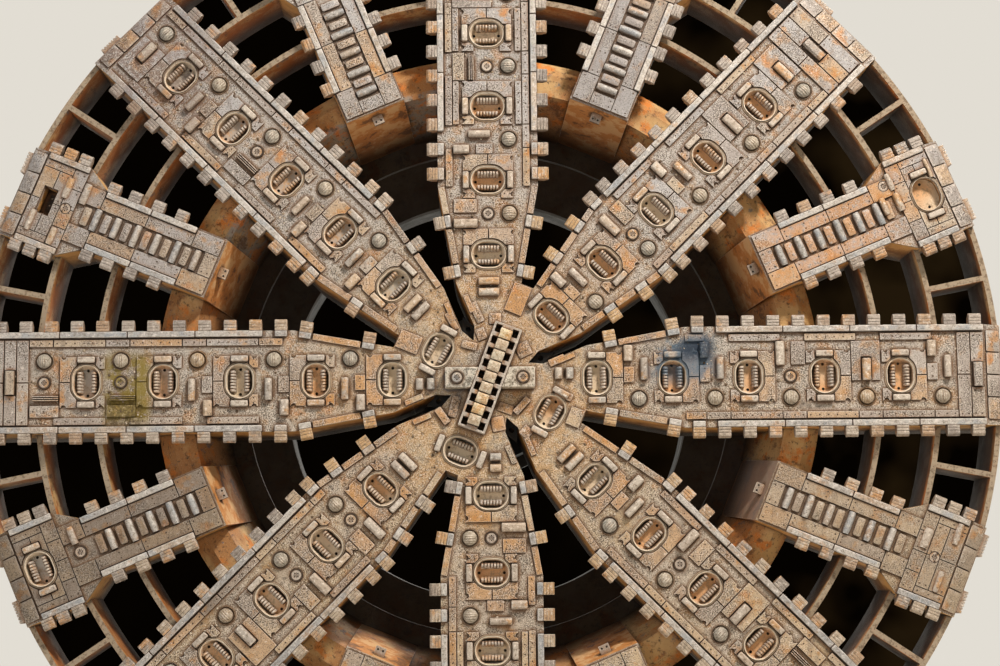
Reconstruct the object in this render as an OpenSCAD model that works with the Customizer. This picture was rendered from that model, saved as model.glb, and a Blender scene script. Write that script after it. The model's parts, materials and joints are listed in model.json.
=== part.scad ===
// Cutterhead of a large tunnel boring machine: main and short spokes around a centre block,
// ring plates between them, the drum that carries them and the main bearing it all turns in.
// Shapes are drawn in the head's own frame (x outward, y counter-clockwise as seen from the front,
// z forward of the spoke faces) and on_head() turns them upright, face towards -Y.

/* [Head] */
// Radius over the rim plates
head_r = 8700; // [8600:20:8840]
// Depth of the main spokes, from face to back
spoke_depth = 2000; // [1800:50:2200]
// Depth of the bevel at the rim end of each face
bevel_h = 140; // [100:10:200]
// Length of the bevel at the rim end of each face
bevel_l = 300; // [240:20:360]
// Clearance between pieces that seat on each other
seat_gap = 0.3; // [0.2:0.1:0.8]

/* [Main spokes] */
// Width of a main spoke
main_w = 1700; // [1600:20:1800]
// Radius at which a main spoke starts to narrow towards the centre
taper_r = 3290; // [3200:10:3400]
// Width lost on each side for each unit of length towards the centre
taper_slope = 0.18; // [0.16:0.005:0.2]
// Least distance from the first tool port to the joint with the centre block
port_to_joint = 330; // [310:5:350]
// Width of the slots between spokes that run in towards the centre
slot_w = 230; // [200:10:260]
// Radius at which the deep slots end
slot_r = 700; // [640:20:760]
// Radius at which the shallow slots end
web_r = 1700; // [1640:20:1760]

/* [Tool ports] */
// Distance between tool ports along a spoke
port_pitch = 1280; // [1260:10:1300]
// Radius of the innermost port that lies on a spoke's axis
first_port_r = 1475; // [1465:5:1485]
// Least distance from the rim end of a spoke to the middle of a port
rim_zone = 900; // [860:10:940]
// Most tool ports along a main spoke, as many of them as its length has room for
port_count = 6; // [3:1:8]
// Radius of the round ends of a port
port_end_r = 225; // [200:5:240]
// Length of the straight sides of a port
port_straight = 120; // [90:10:150]
// Depth of a port below the face
port_depth = 150; // [120:10:320]
// Wall of the collar round a port
collar_t = 42; // [34:2:50]
// Height of the collar above the face
collar_h = 45; // [35:5:60]
// Width of a cutter bar in a port
bar_w = 120; // [100:5:125]
// Distance from a port's middle to the middle of each cutter bar
bar_off = 122; // [110:2:128]
// Clearance between a cutter bar's corners and the port's wall
bar_gap = 10; // [5:1:20]
// Height of a cutter bar above the face
bar_rise = 30; // [10:5:50]
// Number of ridges on a cutter bar
ridge_count = 7; // [4:1:8]
// Depth of the grooves between ridges
ridge_depth = 20; // [15:5:70]
// Radius of the two drilled holes in a port's floor
floor_hole_r = 24; // [18:1:30]
// Depth of the drilled holes
floor_hole_depth = 80; // [50:10:120]
// Length of the blocks at both ends of a port
side_block_l = 290; // [240:10:300]
// Width of the blocks at both ends of a port
side_block_w = 100; // [80:5:110]
// Height of the blocks at both ends of a port
side_block_h = 95; // [70:5:120]

/* [Wear plates] */
// Thickness of the wear plates on the faces
wear_t = 36; // [24:2:50]
// Joint between neighbouring wear plates
wear_gap = 16; // [10:1:24]
// Reach of the corner plates along the spoke, outward from a port's middle
corner_out = 440; // [420:5:455]
// Reach of the corner plates along the spoke, inward from a port's middle
corner_in = 310; // [300:5:330]
// Reach of the corner plates from the spoke's axis
corner_y = 425; // [400:5:440]
// Radius of the bolt notches in the corner plates
notch_r = 42; // [30:2:50]
// Width of the strips beside the rails
strip_w = 115; // [100:5:125]
// Distance from a spoke's edge to the strips beside the rails
strip_inset = 135; // [125:5:145]
// Length of a long strip
strip_l = 860; // [780:20:880]
// Length of a raised bar between ports
wear_bar_l = 400; // [360:10:420]
// Width of a raised bar between ports
wear_bar_w = 150; // [120:5:160]
// Height of a raised bar between ports
wear_bar_h = 115; // [90:5:140]
// Bevel along the top of a raised bar
wear_bar_bevel = 30; // [15:5:40]
// Radius of the round bosses
dome_r = 118; // [100:2:125]
// Height of the round bosses
dome_h = 120; // [90:5:140]
// Distance of the round bosses from the spoke's axis
dome_y = 360; // [350:5:370]
// Radius of the round plugs
plug_r = 82; // [70:2:90]
// Height of the round plugs
plug_h = 26; // [16:2:40]
// Width of the cross cut into a plug
groove_w = 14; // [8:1:20]

/* [Scrapers and rails] */
// Width of the rails along the spoke edges
rail_w = 105; // [90:5:120]
// Height of the rails
rail_h = 70; // [50:5:90]
// How far a rail reaches past the middle of its first scraper
rail_lead = 115; // [105:5:130]
// Length of a scraper along the edge
scraper_l = 205; // [180:5:230]
// How far a scraper stands out from the edge
scraper_out = 185; // [160:5:210]
// Height of a scraper from its foot to its top
scraper_h = 190; // [160:10:220]
// Distance between scrapers along an edge
scraper_pitch = 427; // [400:1:450]
// Depth of the two grooves along the top of a scraper
scraper_groove = 14; // [8:1:20]
// Least room between the middle of a scraper and the strips on the tapered edges
pad_room = 130; // [120:5:150]
// Width of a ridged gauge block on a spoke's rim end
gauge_w = 380; // [300:10:420]
// How far a gauge block stands out of the rim end
gauge_out = 100; // [80:5:120]

/* [Short spokes] */
// How far a short spoke's inner end stands in from the support ring's front edge
short_lip = 80; // [40:10:120]
// Width of the narrow part
short_w = 1060; // [1000:20:1120]
// Width of the wide outer part
short_wide_w = 1600; // [1500:20:1700]
// Distance from the rim to where a short spoke is at its full width
wide_l = 1100; // [1060:20:1140]
// Length over which it widens
flare_l = 400; // [360:20:440]
// Depth of a short spoke at the rim
short_depth = 1500; // [1300:50:1700]
// Distance from the rim to the middle of the port near the rim end
short_port_in = 610; // [600:5:625]
// Distance between the bars in the middle row
row_pitch = 182; // [176:2:196]
// Length of a bar in the middle row
row_bar_l = 350; // [320:10:370]
// Width of a bar in the middle row
row_bar_w = 130; // [110:5:140]
// Height of the raised bars in the middle row
row_bar_h = 95; // [70:5:120]
// Distance between scrapers along the wide part
rim_scraper_pitch = 270; // [255:5:290]
// Distance from the face down to the bracket on the inner end
bracket_set = 220; // [180:10:300]
// Width of that bracket
bracket_w = 180; // [150:10:200]
// How far that bracket stands out
bracket_out = 150; // [120:10:170]

/* [Ring and plates] */
// Radius of the support ring's inner wall at its front
ring_front_r = 5080; // [5040:10:5120]
// How far the support ring's inner wall slopes in towards its back
ring_cone = 440; // [380:20:500]
// Distance from the face back to the support ring
ring_set = 480; // [400:20:600]
// Width of the support ring's flat front
ring_flat = 370; // [300:10:420]
// Width of the sloping strip outside the flat front
ring_slope = 250; // [200:10:300]
// Thickness of the concentric plates
plate_t = 90; // [70:5:110]
// Distance from the rim to the outer concentric plates
rim_bay = 1020; // [960:10:1080]
// Distance from the outer to the inner concentric plates
plate_bay = 990; // [940:10:1040]
// Distance from the face back to the plates
plate_set = 260; // [200:20:320]
// Depth of the plates
plate_depth = 1100; // [900:50:1200]

/* [Drum and bearing] */
// Thickness of the ring behind the spokes
back_ring_t = 150; // [120:10:200]
// Width of the ring behind the spokes
back_ring_w = 1400; // [1300:20:1500]
// How far the ring behind the spokes stands in from the support ring
back_ring_lip = 340; // [280:20:400]
// Length of the legs
leg_l = 1450; // [1300:50:1600]
// Width of a leg
leg_w = 900; // [800:20:1000]
// Thickness of the drive flange
flange_t = 250; // [200:10:300]
// Inner radius of the drive flange and the bearing
bore_r = 3700; // [3600:20:3800]
// Width of the drive flange
flange_w = 1050; // [1000:10:1100]
// Distance from the edges of the rings to the legs
leg_inset = 110; // [80:10:140]
// Wall of the bearing's inner ring
rotor_t = 450; // [400:10:500]
// Height of the bearing's inner ring
rotor_h = 750; // [700:10:800]
// How far the roller collar stands out of the inner ring
collar_out = 200; // [160:10:220]
// Height of the roller collar
roller_h = 250; // [200:10:280]
// Clearance in the roller track
roller_gap = 0.3; // [0.2:0.1:0.5]
// Clearance elsewhere between the turning and the fixed ring
running_gap = 12; // [8:1:20]
// Gap between the drive flange and the fixed ring
seal_gap = 60; // [40:5:80]
// Thickness of the fixed ring's rear wall
housing_back = 150; // [120:10:200]
// Wall of the fixed ring, with the roller track in it
housing_t = 600; // [560:10:660]
// Width of the mounting flange
mount_w = 350; // [320:10:400]
// Thickness of the mounting flange
mount_t = 140; // [120:10:160]
// Number of mounting bolts
bolt_count = 60; // [48:6:72]
// Radius of a mounting bolt hole
bolt_hole_r = 36; // [30:1:42]

/* [Centre] */
// Length of the centre cutter
centre_l = 1850; // [1700:50:1950]
// Width of the centre cutter
centre_w = 470; // [440:10:500]
// Height of the centre cutter's frame above the face
centre_h = 300; // [240:10:360]
// Angle of the centre cutter from level
centre_angle = 69.5; // [60:0.5:80]
// Number of cutter blocks in the centre cutter
centre_blocks = 9; // [7:1:11]
// Width of the row of cutter blocks
centre_row_w = 200; // [180:5:220]
// Width of the pockets beside the row
centre_pocket_w = 95; // [80:5:100]
// Length of the arms that brace the centre cutter
arm_l = 500; // [440:20:540]
// Width of the arms
arm_w = 350; // [300:10:380]
// How far the cutter blocks stand out of the frame
cutter_rise = 70; // [50:5:90]
// Radius inside which only the centre cutter and its arms stand on the block
centre_clear = 900; // [860:10:930]
// Width of the strips along the deep slots
slot_strip_w = 88; // [70:2:90]
// Radius of the hub behind the centre
hub_r = 1250; // [1150:20:1350]
// Length of the hub behind the centre
hub_l = 900; // [800:50:1000]
// Width and thickness of the collar at the hub's end
hub_collar = 210; // [160:10:260]
// Thickness of the lugs in the deep slots
lug_t = 60; // [40:5:80]
// Distance from the face down to the lugs
lug_set = 150; // [80:10:300]
// Radius of the rotary feed behind the hub
feed_r = 450; // [400:10:500]

/* [Hidden] */
$fn = 256;
small_fn = 64;
face_steel = "burlywood";
tool_steel = "wheat";
deep_steel = "peru";
bearing_steel = "slategray";
MAIN = 8;
SHORT = 8;

// Main spokes: direction in degrees, step of its first port in the spiral of ports,
// places of the scrapers on its tapered edges, number of scrapers ahead of the rails,
// and the layout of each gap between ports, from the centre out
ANGLE = 0;
SPIRAL = 1;
INNER_SCRAPERS = 2;
FREE_SCRAPERS = 3;
GAPS = 4;
TWO_BARS = 1;
BAR_AND_PLUG = 2;
PLATE_AND_PLUG = 3;
FRAMED_BAR = 4;
main_table = [
    [0, 2, [2030, 3090], 1, [TWO_BARS, TWO_BARS, BAR_AND_PLUG, FRAMED_BAR, TWO_BARS]],
    [45, 0, [2260, 2900], 1, [TWO_BARS, BAR_AND_PLUG, TWO_BARS, FRAMED_BAR, FRAMED_BAR]],
    [90, 4, [1820, 2670], 2, [BAR_AND_PLUG, TWO_BARS, PLATE_AND_PLUG, FRAMED_BAR, TWO_BARS]],
    [135, 5, [2490], 1, [TWO_BARS, TWO_BARS, PLATE_AND_PLUG, TWO_BARS, FRAMED_BAR]],
    [180, 1, [2030, 3090], 1, [TWO_BARS, TWO_BARS, TWO_BARS, PLATE_AND_PLUG, PLATE_AND_PLUG]],
    [225, 7, [2260, 2900], 1, [BAR_AND_PLUG, BAR_AND_PLUG, FRAMED_BAR, TWO_BARS, TWO_BARS]],
    [270, 3, [1820, 2670], 2, [BAR_AND_PLUG, TWO_BARS, PLATE_AND_PLUG, FRAMED_BAR, TWO_BARS]],
    [315, 6, [2490], 1, [TWO_BARS, BAR_AND_PLUG, FRAMED_BAR, PLATE_AND_PLUG, TWO_BARS]]
];

// Ports in the centre block: direction in degrees, step in the spiral of ports
centre_ports = [[247.5, -1], [330.5, -2], [150.5, -3]];

// Slots between spokes: direction in degrees, whether it is one of the deep ones,
// the radius from which plates lie beside or ahead of it, 0 for none, and their side, 0 for both
SLOT_DEEP = 1;
PLATE_FROM = 2;
PLATE_SIDE = 3;
slot_table = [
    [22.5, true, 1150, -1], [67.5, false, 1180, 1], [112.5, true, 1150, 0], [157.5, false, 1300, -1],
    [202.5, true, 1150, 0], [247.5, false, 0, 0], [292.5, true, 1150, 0], [337.5, false, 1450, -1]
];

// Short spokes: direction in degrees, what there is near the rim,
// and the place of the plug, outward from where the spoke is full width and across
RIM_FEATURE = 1;
PLUG_PLACE = 2;
PLAIN = 0;
WINDOW = 1;
EMPTY_PORT = 2;
TOOL_PORT = 3;
short_table = [
    [22.5, EMPTY_PORT, [-140, 410]], [67.5, PLAIN, [-200, 0]],
    [112.5, TOOL_PORT, [-230, 0]], [157.5, WINDOW, [140, 0]],
    [202.5, TOOL_PORT, [-230, 0]], [247.5, WINDOW, [140, 0]],
    [292.5, TOOL_PORT, [-230, 0]], [337.5, PLAIN, [380, 0]]
];

main_half = main_w / 2;
short_half = short_w / 2;
short_wide_half = short_wide_w / 2;
wide_r = head_r - wide_l;
flare_r = wide_r - flare_l;
short_r = ring_front_r - short_lip;
short_port_r = head_r - short_port_in;
plate_outer_r = head_r - rim_bay;
plate_inner_r = plate_outer_r - plate_bay;
ring_back_r = ring_front_r - ring_cone;
back_ring_in_r = ring_back_r - back_ring_lip;
back_ring_out_r = back_ring_in_r + back_ring_w;
flange_r = bore_r + flange_w;
rotor_r = bore_r + rotor_t;
housing_r = rotor_r + housing_t;
mount_r = housing_r + mount_w;
bolt_circle_r = mount_r - mount_w / 2;
cut = 10;
reach = 2 * head_r;

z_back = -spoke_depth;
z_ring = z_back - seat_gap;
z_leg_top = z_ring - back_ring_t - seat_gap;
z_flange = z_leg_top - leg_l - seat_gap;
z_rotor = z_flange - flange_t;
z_housing = z_rotor - seal_gap;
z_rotor_back = z_rotor - rotor_h;
z_mount = z_rotor_back - running_gap - housing_back;
z_roller = z_rotor - (rotor_h + roller_h) / 2;
ring_out_r = ring_front_r + ring_flat + ring_slope;
main_end_r = sqrt(head_r * head_r - main_half * main_half);
short_end_r = sqrt(head_r * head_r - short_wide_half * short_wide_half);
port_out_r = port_end_r + collar_t;
window_depth = 2 * port_depth;
lean = atan(taper_slope);
arm_start = centre_w / 2 / sin(centre_angle);
bar_l = port_straight + 2 * sqrt(pow(port_end_r, 2) - pow(bar_off + bar_w / 2, 2)) - 2 * bar_gap;
gap_start = corner_out + wear_gap;
gap_stop = port_pitch - corner_in - wear_gap;
gap_mid = (gap_start + gap_stop) / 2;

function main_angle(k) = main_table[k][ANGLE];
function spiral_r(step) = first_port_r + step * port_pitch / MAIN;
function first_port(k) = spiral_r(main_table[k][SPIRAL]);
function joint_r(k) = first_port(k) - port_to_joint;
function port_x(k, n) = first_port(k) + n * port_pitch;
function half_width(x) = min(main_half, main_half - taper_slope * (taper_r - x));
// Places of the tool ports along a main spoke
function ports(k) = [
    for (n = [0:port_count - 1])
        if (port_x(k, n) < main_end_r - rim_zone)
            port_x(k, n)
];
// Places of the scrapers along a main spoke's straight edges
function scraper_places(k) = [
    for (x = [taper_r + (k % 2 == 0 ? scraper_pitch / 2 : 0):scraper_pitch:main_end_r - bevel_l])
        x
];
// Where a main spoke's rails start
function rail_start(k) = scraper_places(k)[main_table[k][FREE_SCRAPERS]] - rail_lead;

module on_head(angle = 0) {
    translate([0, z_mount, 0])
        rotate([90, 0, 0])
            rotate([0, 0, angle])
                children();
}

// Its children on every short spoke, x outward along the spoke
module on_short_spokes() {
    for (k = [0:SHORT - 1])
        on_head(short_table[k][ANGLE])
            children();
}

// A solid between two heights, from a flat outline
module slab(low, high) {
    translate([0, 0, low])
        linear_extrude(high - low)
            children();
}

// A flat rectangle between two places along x and two along y
module area(x, y) {
    translate([x[0], y[0]])
        square([x[1] - x[0], y[1] - y[0]]);
}

// A bar along x, from an outline whose x is across and whose y is up
module along_x(length) {
    translate([-length / 2, 0, 0])
        rotate([90, 0, 90])
            linear_extrude(length)
                children();
}

// A solid from its side view, outward and up, with its width across the spoke
module side_slab(width) {
    rotate([90, 0, 0])
        linear_extrude(width, center = true)
            children();
}

// A wear bar across the spoke, bevelled along its top
module bevelled_bar(length, width, height) {
    half = width / 2;
    side_slab(length)
        polygon([
            [-half, 0], [half, 0], [half, height - wear_bar_bevel], [half - wear_bar_bevel, height],
            [wear_bar_bevel - half, height], [-half, height - wear_bar_bevel]
        ]);
}

// Outline with two round ends, long side across the spoke
module racetrack(end_r, straight) {
    for (side = [-1, 1])
        translate([0, side * straight / 2])
            circle(end_r, $fn = small_fn);
    square([2 * end_r, straight], center = true);
}

// The slots between neighbouring spokes, near the centre
module slots() {
    for (slot = slot_table) {
        start = slot[SLOT_DEEP] ? slot_r : web_r;
        tip = slot[SLOT_DEEP] ? slot_w : 0;
        rotate(slot[ANGLE])
            polygon([
                [start, 0], [start + tip, slot_w / 2], [taper_r, slot_w / 2],
                [taper_r, -slot_w / 2], [start + tip, -slot_w / 2]
            ]);
    }
}

module main_outline(k) {
    inner = joint_r(k);
    polygon([
        [inner, -half_width(inner)], [taper_r, -main_half], [head_r, -main_half],
        [head_r, main_half], [taper_r, main_half], [inner, half_width(inner)]
    ]);
}

// The recess that holds a tool, with two drilled holes in its floor
module port_pocket() {
    slab(-port_depth, cut)
        racetrack(port_end_r, port_straight);
    for (side = [-1, 1])
        translate([0, side * (port_straight / 2 + port_end_r * 2 / 3), -port_depth - floor_hole_depth])
            cylinder(h = port_depth, r = floor_hole_r, $fn = small_fn);
}

module main_spoke(k) {
    color(face_steel)
        on_head(main_angle(k))
            intersection() {
                difference() {
                    slab(z_back, 0)
                        difference() {
                            main_outline(k);
                            rotate(-main_angle(k))
                                slots();
                        }
                    for (x = ports(k))
                        translate([x, 0, 0])
                            port_pocket();
                }
                side_slab(main_w + cut)
                    polygon([
                        [0, z_back], [main_end_r, z_back], [main_end_r, -bevel_h],
                        [main_end_r - bevel_l, 0], [0, 0]
                    ]);
            }
}

// The centre block fills what lies between the inner ends of the main spokes
module centre_block() {
    color(face_steel)
        on_head()
            difference() {
                slab(z_back, 0)
                    difference() {
                        centre_outline();
                        slots();
                        for (k = [0:MAIN - 1])
                            rotate(main_angle(k))
                                main_outline(k);
                    }
                for (port = centre_ports)
                    rotate(port[ANGLE])
                        translate([spiral_r(port[SPIRAL]), 0, 0])
                            port_pocket();
            }
}

module centre_outline() {
    circle(slot_r + slot_w, $fn = 8);
    for (k = [0:MAIN - 1])
        rotate(main_angle(k))
            polygon([
                [0, -half_width(0)], [joint_r(k), -half_width(joint_r(k))],
                [joint_r(k), half_width(joint_r(k))], [0, half_width(0)]
            ]);
    for (slot = slot_table)
        if (!slot[SLOT_DEEP])
            rotate(slot[ANGLE])
                area([0, web_r], [-slot_w / 2, slot_w / 2]);
}

module short_outline() {
    polygon([
        [short_r - reach, -short_half], [flare_r, -short_half], [wide_r, -short_wide_half],
        [head_r, -short_wide_half], [head_r, short_wide_half], [wide_r, short_wide_half],
        [flare_r, short_half], [short_r - reach, short_half]
    ]);
}

// Side view of a short spoke: its inner end slopes back to the support ring's rear edge
module short_side() {
    polygon([
        [short_r, 0], [short_end_r - bevel_l, 0], [short_end_r, -bevel_h],
        [short_end_r, -short_depth], [flare_r, -short_depth],
        [back_ring_out_r, z_back], [ring_back_r, z_back]
    ]);
}

module short_spoke(k) {
    color(face_steel)
        on_head(short_table[k][ANGLE])
            intersection() {
                difference() {
                    slab(z_back, 0)
                        short_outline();
                    translate([short_port_r, 0, 0]) {
                        if (short_table[k][RIM_FEATURE] == WINDOW)
                            slab(-window_depth, cut)
                                square([port_end_r, 2 * port_end_r], center = true);
                        if (short_table[k][RIM_FEATURE] > WINDOW)
                            port_pocket();
                    }
                }
                side_slab(short_wide_w + cut)
                    short_side();
            }
}

// What the ring and the plates leave free for the spokes
module spoke_lanes() {
    for (k = [0:MAIN - 1])
        rotate([0, 0, main_angle(k)])
            translate([0, -main_half, z_back - cut])
                cube([reach, main_w, spoke_depth + 2 * cut]);
    for (k = [0:SHORT - 1])
        rotate([0, 0, short_table[k][ANGLE]])
            slab(z_back - cut, cut)
                intersection() {
                    short_outline();
                    area([0, reach], [-reach, reach]);
                }
}

module support_ring() {
    color(deep_steel)
        on_head()
            difference() {
                rotate_extrude()
                    polygon([
                        [ring_back_r, z_back], [ring_front_r, -ring_set],
                        [ring_front_r + ring_flat, -ring_set], [ring_out_r, -ring_set - ring_slope],
                        [ring_out_r, -ring_set - 2 * ring_slope], [back_ring_out_r - ring_flat, z_back]
                    ]);
                spoke_lanes();
            }
}

// Concentric plates between the spokes, the seam of each ring at a spoke's side
module ring_plates(radius) {
    difference() {
        rotate([0, 0, asin(main_half / radius)])
            rotate_extrude()
                translate([radius - plate_t, -plate_set - plate_depth])
                    square([plate_t, plate_depth]);
        spoke_lanes();
    }
}

module inner_ring_plates() {
    color(deep_steel)
        on_head()
            ring_plates(plate_inner_r);
}

module outer_ring_plates() {
    color(deep_steel)
        on_head()
            ring_plates(plate_outer_r);
}

module rim_plates() {
    color(deep_steel)
        on_head()
            ring_plates(head_r);
}

// A radial plate in the middle of each gap, from the outer plates to the rim
module gap_webs() {
    color(deep_steel)
        on_head()
            for (k = [0:MAIN + SHORT - 1])
                rotate([0, 0, (k + 0.5) * 360 / (MAIN + SHORT)])
                    slab(-plate_set - plate_depth, -plate_set)
                        intersection() {
                            area([plate_outer_r - plate_t, head_r], [-plate_t / 2, plate_t / 2]);
                            difference() {
                                circle(head_r - plate_t - seat_gap);
                                circle(plate_outer_r + seat_gap);
                            }
                        }
}

module back_ring() {
    color(deep_steel)
        on_head()
            slab(z_ring - back_ring_t, z_ring)
                difference() {
                    circle(back_ring_out_r);
                    circle(back_ring_in_r);
                }
}

// Box legs that lean in from the ring behind the spokes to the drive flange
module drive_legs() {
    foot = z_flange + seat_gap;
    color(deep_steel)
        for (k = [0:MAIN - 1])
            on_head(main_angle(k))
                side_slab(leg_w)
                    polygon([
                        [back_ring_in_r + leg_inset, z_leg_top], [back_ring_out_r - leg_inset, z_leg_top],
                        [flange_r - leg_inset, foot], [bore_r + leg_inset, foot]
                    ]);
}

module drive_flange() {
    color(deep_steel)
        on_head()
            slab(z_rotor, z_flange)
                difference() {
                    circle(flange_r);
                    circle(bore_r);
                }
}

module bearing_rotor() {
    collar_r = rotor_r + collar_out;
    color(bearing_steel)
        on_head()
            rotate_extrude()
                polygon([
                    [bore_r, z_rotor], [rotor_r, z_rotor], [rotor_r, z_roller + roller_h],
                    [collar_r, z_roller + roller_h], [collar_r, z_roller], [rotor_r, z_roller],
                    [rotor_r, z_rotor_back], [bore_r, z_rotor_back]
                ]);
}

module bearing_housing() {
    inner_r = rotor_r + running_gap;
    track_r = rotor_r + collar_out + roller_gap;
    color(bearing_steel)
        on_head()
            difference() {
                rotate_extrude()
                    polygon([
                        [inner_r, z_housing], [housing_r, z_housing],
                        [housing_r, z_mount + mount_t], [mount_r, z_mount + mount_t],
                        [mount_r, z_mount], [inner_r, z_mount],
                        [inner_r, z_roller - running_gap], [track_r, z_roller - running_gap],
                        [track_r, z_roller + roller_h + running_gap],
                        [inner_r, z_roller + roller_h + running_gap]
                    ]);
                for (bolt = [0:bolt_count - 1])
                    rotate([0, 0, (bolt + 0.5) * 360 / bolt_count])
                        translate([bolt_circle_r, 0, z_mount - cut])
                            cylinder(h = mount_t + 2 * cut, r = bolt_hole_r, $fn = small_fn);
            }
}

// Hub and rotary feed behind the centre block
module hub_column() {
    collar_back = z_ring - hub_l - hub_collar;
    color(bearing_steel)
        on_head() {
            slab(z_ring - hub_l, z_ring)
                circle(hub_r);
            slab(collar_back, z_ring - hub_l)
                circle(hub_r + hub_collar);
            slab(z_rotor, collar_back)
                circle(feed_r);
        }
}

// Lugs with an eye, wedged between the walls at the tips of the deep slots
module slot_lugs() {
    start = slot_r + 3 * seat_gap;
    side = slot_w / 2 - seat_gap;
    color(bearing_steel)
        for (slot = slot_table)
            if (slot[SLOT_DEEP])
                on_head(slot[ANGLE])
                    slab(-lug_set - lug_t, -lug_set)
                        difference() {
                            polygon([
                                [start, 0], [start + slot_w, side], [start + 2 * slot_w, 0],
                                [start + slot_w, -side]
                            ]);
                            translate([start + slot_w, 0])
                                circle(slot_w / 5, $fn = small_fn);
                        }
}

// Rails on both edges, in lengths with a joint between them
module rail_pair(start, stop, half) {
    count = ceil((stop - start) / port_pitch);
    step = (stop - start) / count;
    for (side = [0, 1])
        mirror([0, side, 0])
            for (i = [0:count - 1])
                translate([start + i * step, half - rail_w, 0])
                    cube([step - wear_gap / 2, rail_w, rail_h]);
}

// Its children at a place on both tapered edges of a main spoke, x outward along the edge
module at_edges(x) {
    for (side = [0, 1])
        mirror([0, side, 0])
            translate([x, half_width(x), 0])
                rotate([0, 0, x < taper_r ? lean : 0])
                    children();
}

// Rails, and short pads beside the scrapers ahead of them
module main_rails() {
    color(tool_steel)
        for (k = [0:MAIN - 1])
            on_head(main_angle(k)) {
                rail_pair(rail_start(k), main_end_r - bevel_l - wear_gap, main_half);
                for (x = pad_places(k))
                    at_edges(x)
                        translate([-scraper_l / 2, -rail_w, 0])
                            cube([scraper_l, rail_w, rail_h]);
            }
}

function pad_places(k) = concat(
    main_table[k][INNER_SCRAPERS],
    [for (i = [0:main_table[k][FREE_SCRAPERS] - 1]) max(scraper_places(k)[i], taper_r + scraper_l / 2)]
);

module short_rails() {
    color(tool_steel)
        on_short_spokes() {
            rail_pair(short_r + short_half, flare_r - wear_gap, short_half);
            rail_pair(wide_r, short_end_r - bevel_l - wear_gap, short_wide_half);
        }
}

// One scraper, its foot on the spoke's side wall, pointing along +y, with two grooves along its top
module scraper() {
    lip = scraper_out / 5;
    top_l = scraper_out - lip;
    color(tool_steel)
        along_x(scraper_l)
            polygon(concat(
                [[0, rail_h - scraper_h]],
                [for (place = ridges(top_l, 3, rail_h, scraper_groove)) place + [top_l / 2, 0]],
                [[scraper_out, rail_h - lip], [scraper_out, rail_h - scraper_h / 2],
                 [scraper_out - 2 * lip, rail_h - scraper_h]]
            ));
}

module scraper_row(places, half) {
    for (x = places)
        for (side = [0, 1])
            mirror([0, side, 0])
                translate([x, half, 0])
                    scraper();
}

module main_scrapers() {
    for (k = [0:MAIN - 1])
        on_head(main_angle(k)) {
            scraper_row([for (x = scraper_places(k)) max(x, taper_r + scraper_l / 2)], main_half);
            for (x = main_table[k][INNER_SCRAPERS])
                at_edges(x)
                    scraper();
        }
}

module short_scrapers() {
    for (k = [0:SHORT - 1])
        on_head(short_table[k][ANGLE]) {
            start = short_r + short_half + rail_lead + (k % 2) * scraper_pitch / 2;
            last = flare_r - scraper_l / 2 - seat_gap;
            scraper_row([for (x = [start:scraper_pitch:flare_r]) min(x, last)], short_half);
            scraper_row([for (x = [wide_r + 0.7 * scraper_l:rim_scraper_pitch:short_end_r - bevel_l]) x],
                        short_wide_half);
        }
}

// Its children at every tool port, x outward along the port's own spoke
module at_ports() {
    for (k = [0:MAIN - 1])
        for (x = ports(k))
            on_head(main_angle(k))
                translate([x, 0, 0])
                    children();
    for (port = centre_ports)
        on_head(port[ANGLE])
            translate([spiral_r(port[SPIRAL]), 0, 0])
                children();
}

module at_short_ports(features) {
    for (k = [0:SHORT - 1])
        if (len(search(short_table[k][RIM_FEATURE], features)) > 0)
            on_head(short_table[k][ANGLE])
                translate([short_port_r, 0, 0])
                    children();
}

module collar() {
    slab(0, collar_h)
        difference() {
            racetrack(port_out_r, port_straight);
            racetrack(port_end_r, port_straight);
        }
}

module port_collars() {
    color(tool_steel) {
        at_ports()
            collar();
        at_short_ports([EMPTY_PORT, TOOL_PORT])
            collar();
    }
}

// Top of a bar from its left end to its right end, with a groove between each two ridges
function ridges(length, count, top, depth) =
    let (step = length / count, lip = step / 6)
    [for (i = [0:count - 1])
        let (left = i * step - length / 2, right = left + step)
        each concat(
            [[left + (i > 0 ? lip : 0), top], [right - (i < count - 1 ? lip : 0), top]],
            i < count - 1 ? [[right, top - depth]] : []
        )];

// Two ridged cutter bars that stand on the floor of a port
module cutter_pair() {
    for (side = [-1, 1])
        translate([side * bar_off, 0, 0])
            along_x(bar_w)
                polygon(concat(
                    [[bar_l / 2, -port_depth], [-bar_l / 2, -port_depth]],
                    ridges(bar_l, ridge_count, bar_rise, ridge_depth)
                ));
}

module port_bars() {
    color(tool_steel) {
        at_ports()
            cutter_pair();
        at_short_ports([TOOL_PORT])
            cutter_pair();
    }
}

// Blocks at both ends of each port
module side_blocks() {
    side_y = port_straight / 2 + port_out_r + seat_gap;
    for (side = [0, 1])
        mirror([0, side, 0])
            slab(0, side_block_h)
                area([-side_block_l / 2, side_block_l / 2], [side_y, side_y + side_block_w]);
}

module port_side_blocks() {
    color(tool_steel) {
        at_ports()
            side_blocks();
        at_short_ports([EMPTY_PORT, TOOL_PORT])
            side_blocks();
    }
}

// Two or four plates round a port, cut out round its collar and notched for a bolt
module port_corner_plates(reaches) {
    start = side_block_l / 2 + wear_gap;
    slab(0, wear_t)
        difference() {
            for (side = [-1, 1], reach_x = reaches) {
                inner = reach_x > 0 ? wear_gap / 2 : port_end_r;
                area(reach_x > 0 ? [start, reach_x] : [reach_x, -start],
                     side > 0 ? [inner, corner_y] : [-corner_y, -inner]);
            }
            racetrack(port_out_r + wear_gap / 2, port_straight);
            for (side = [-1, 1], x = [corner_out - 1.5 * notch_r, 1.5 * notch_r - corner_in])
                translate([x, side * corner_y])
                    circle(notch_r, $fn = small_fn);
        }
}

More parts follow.
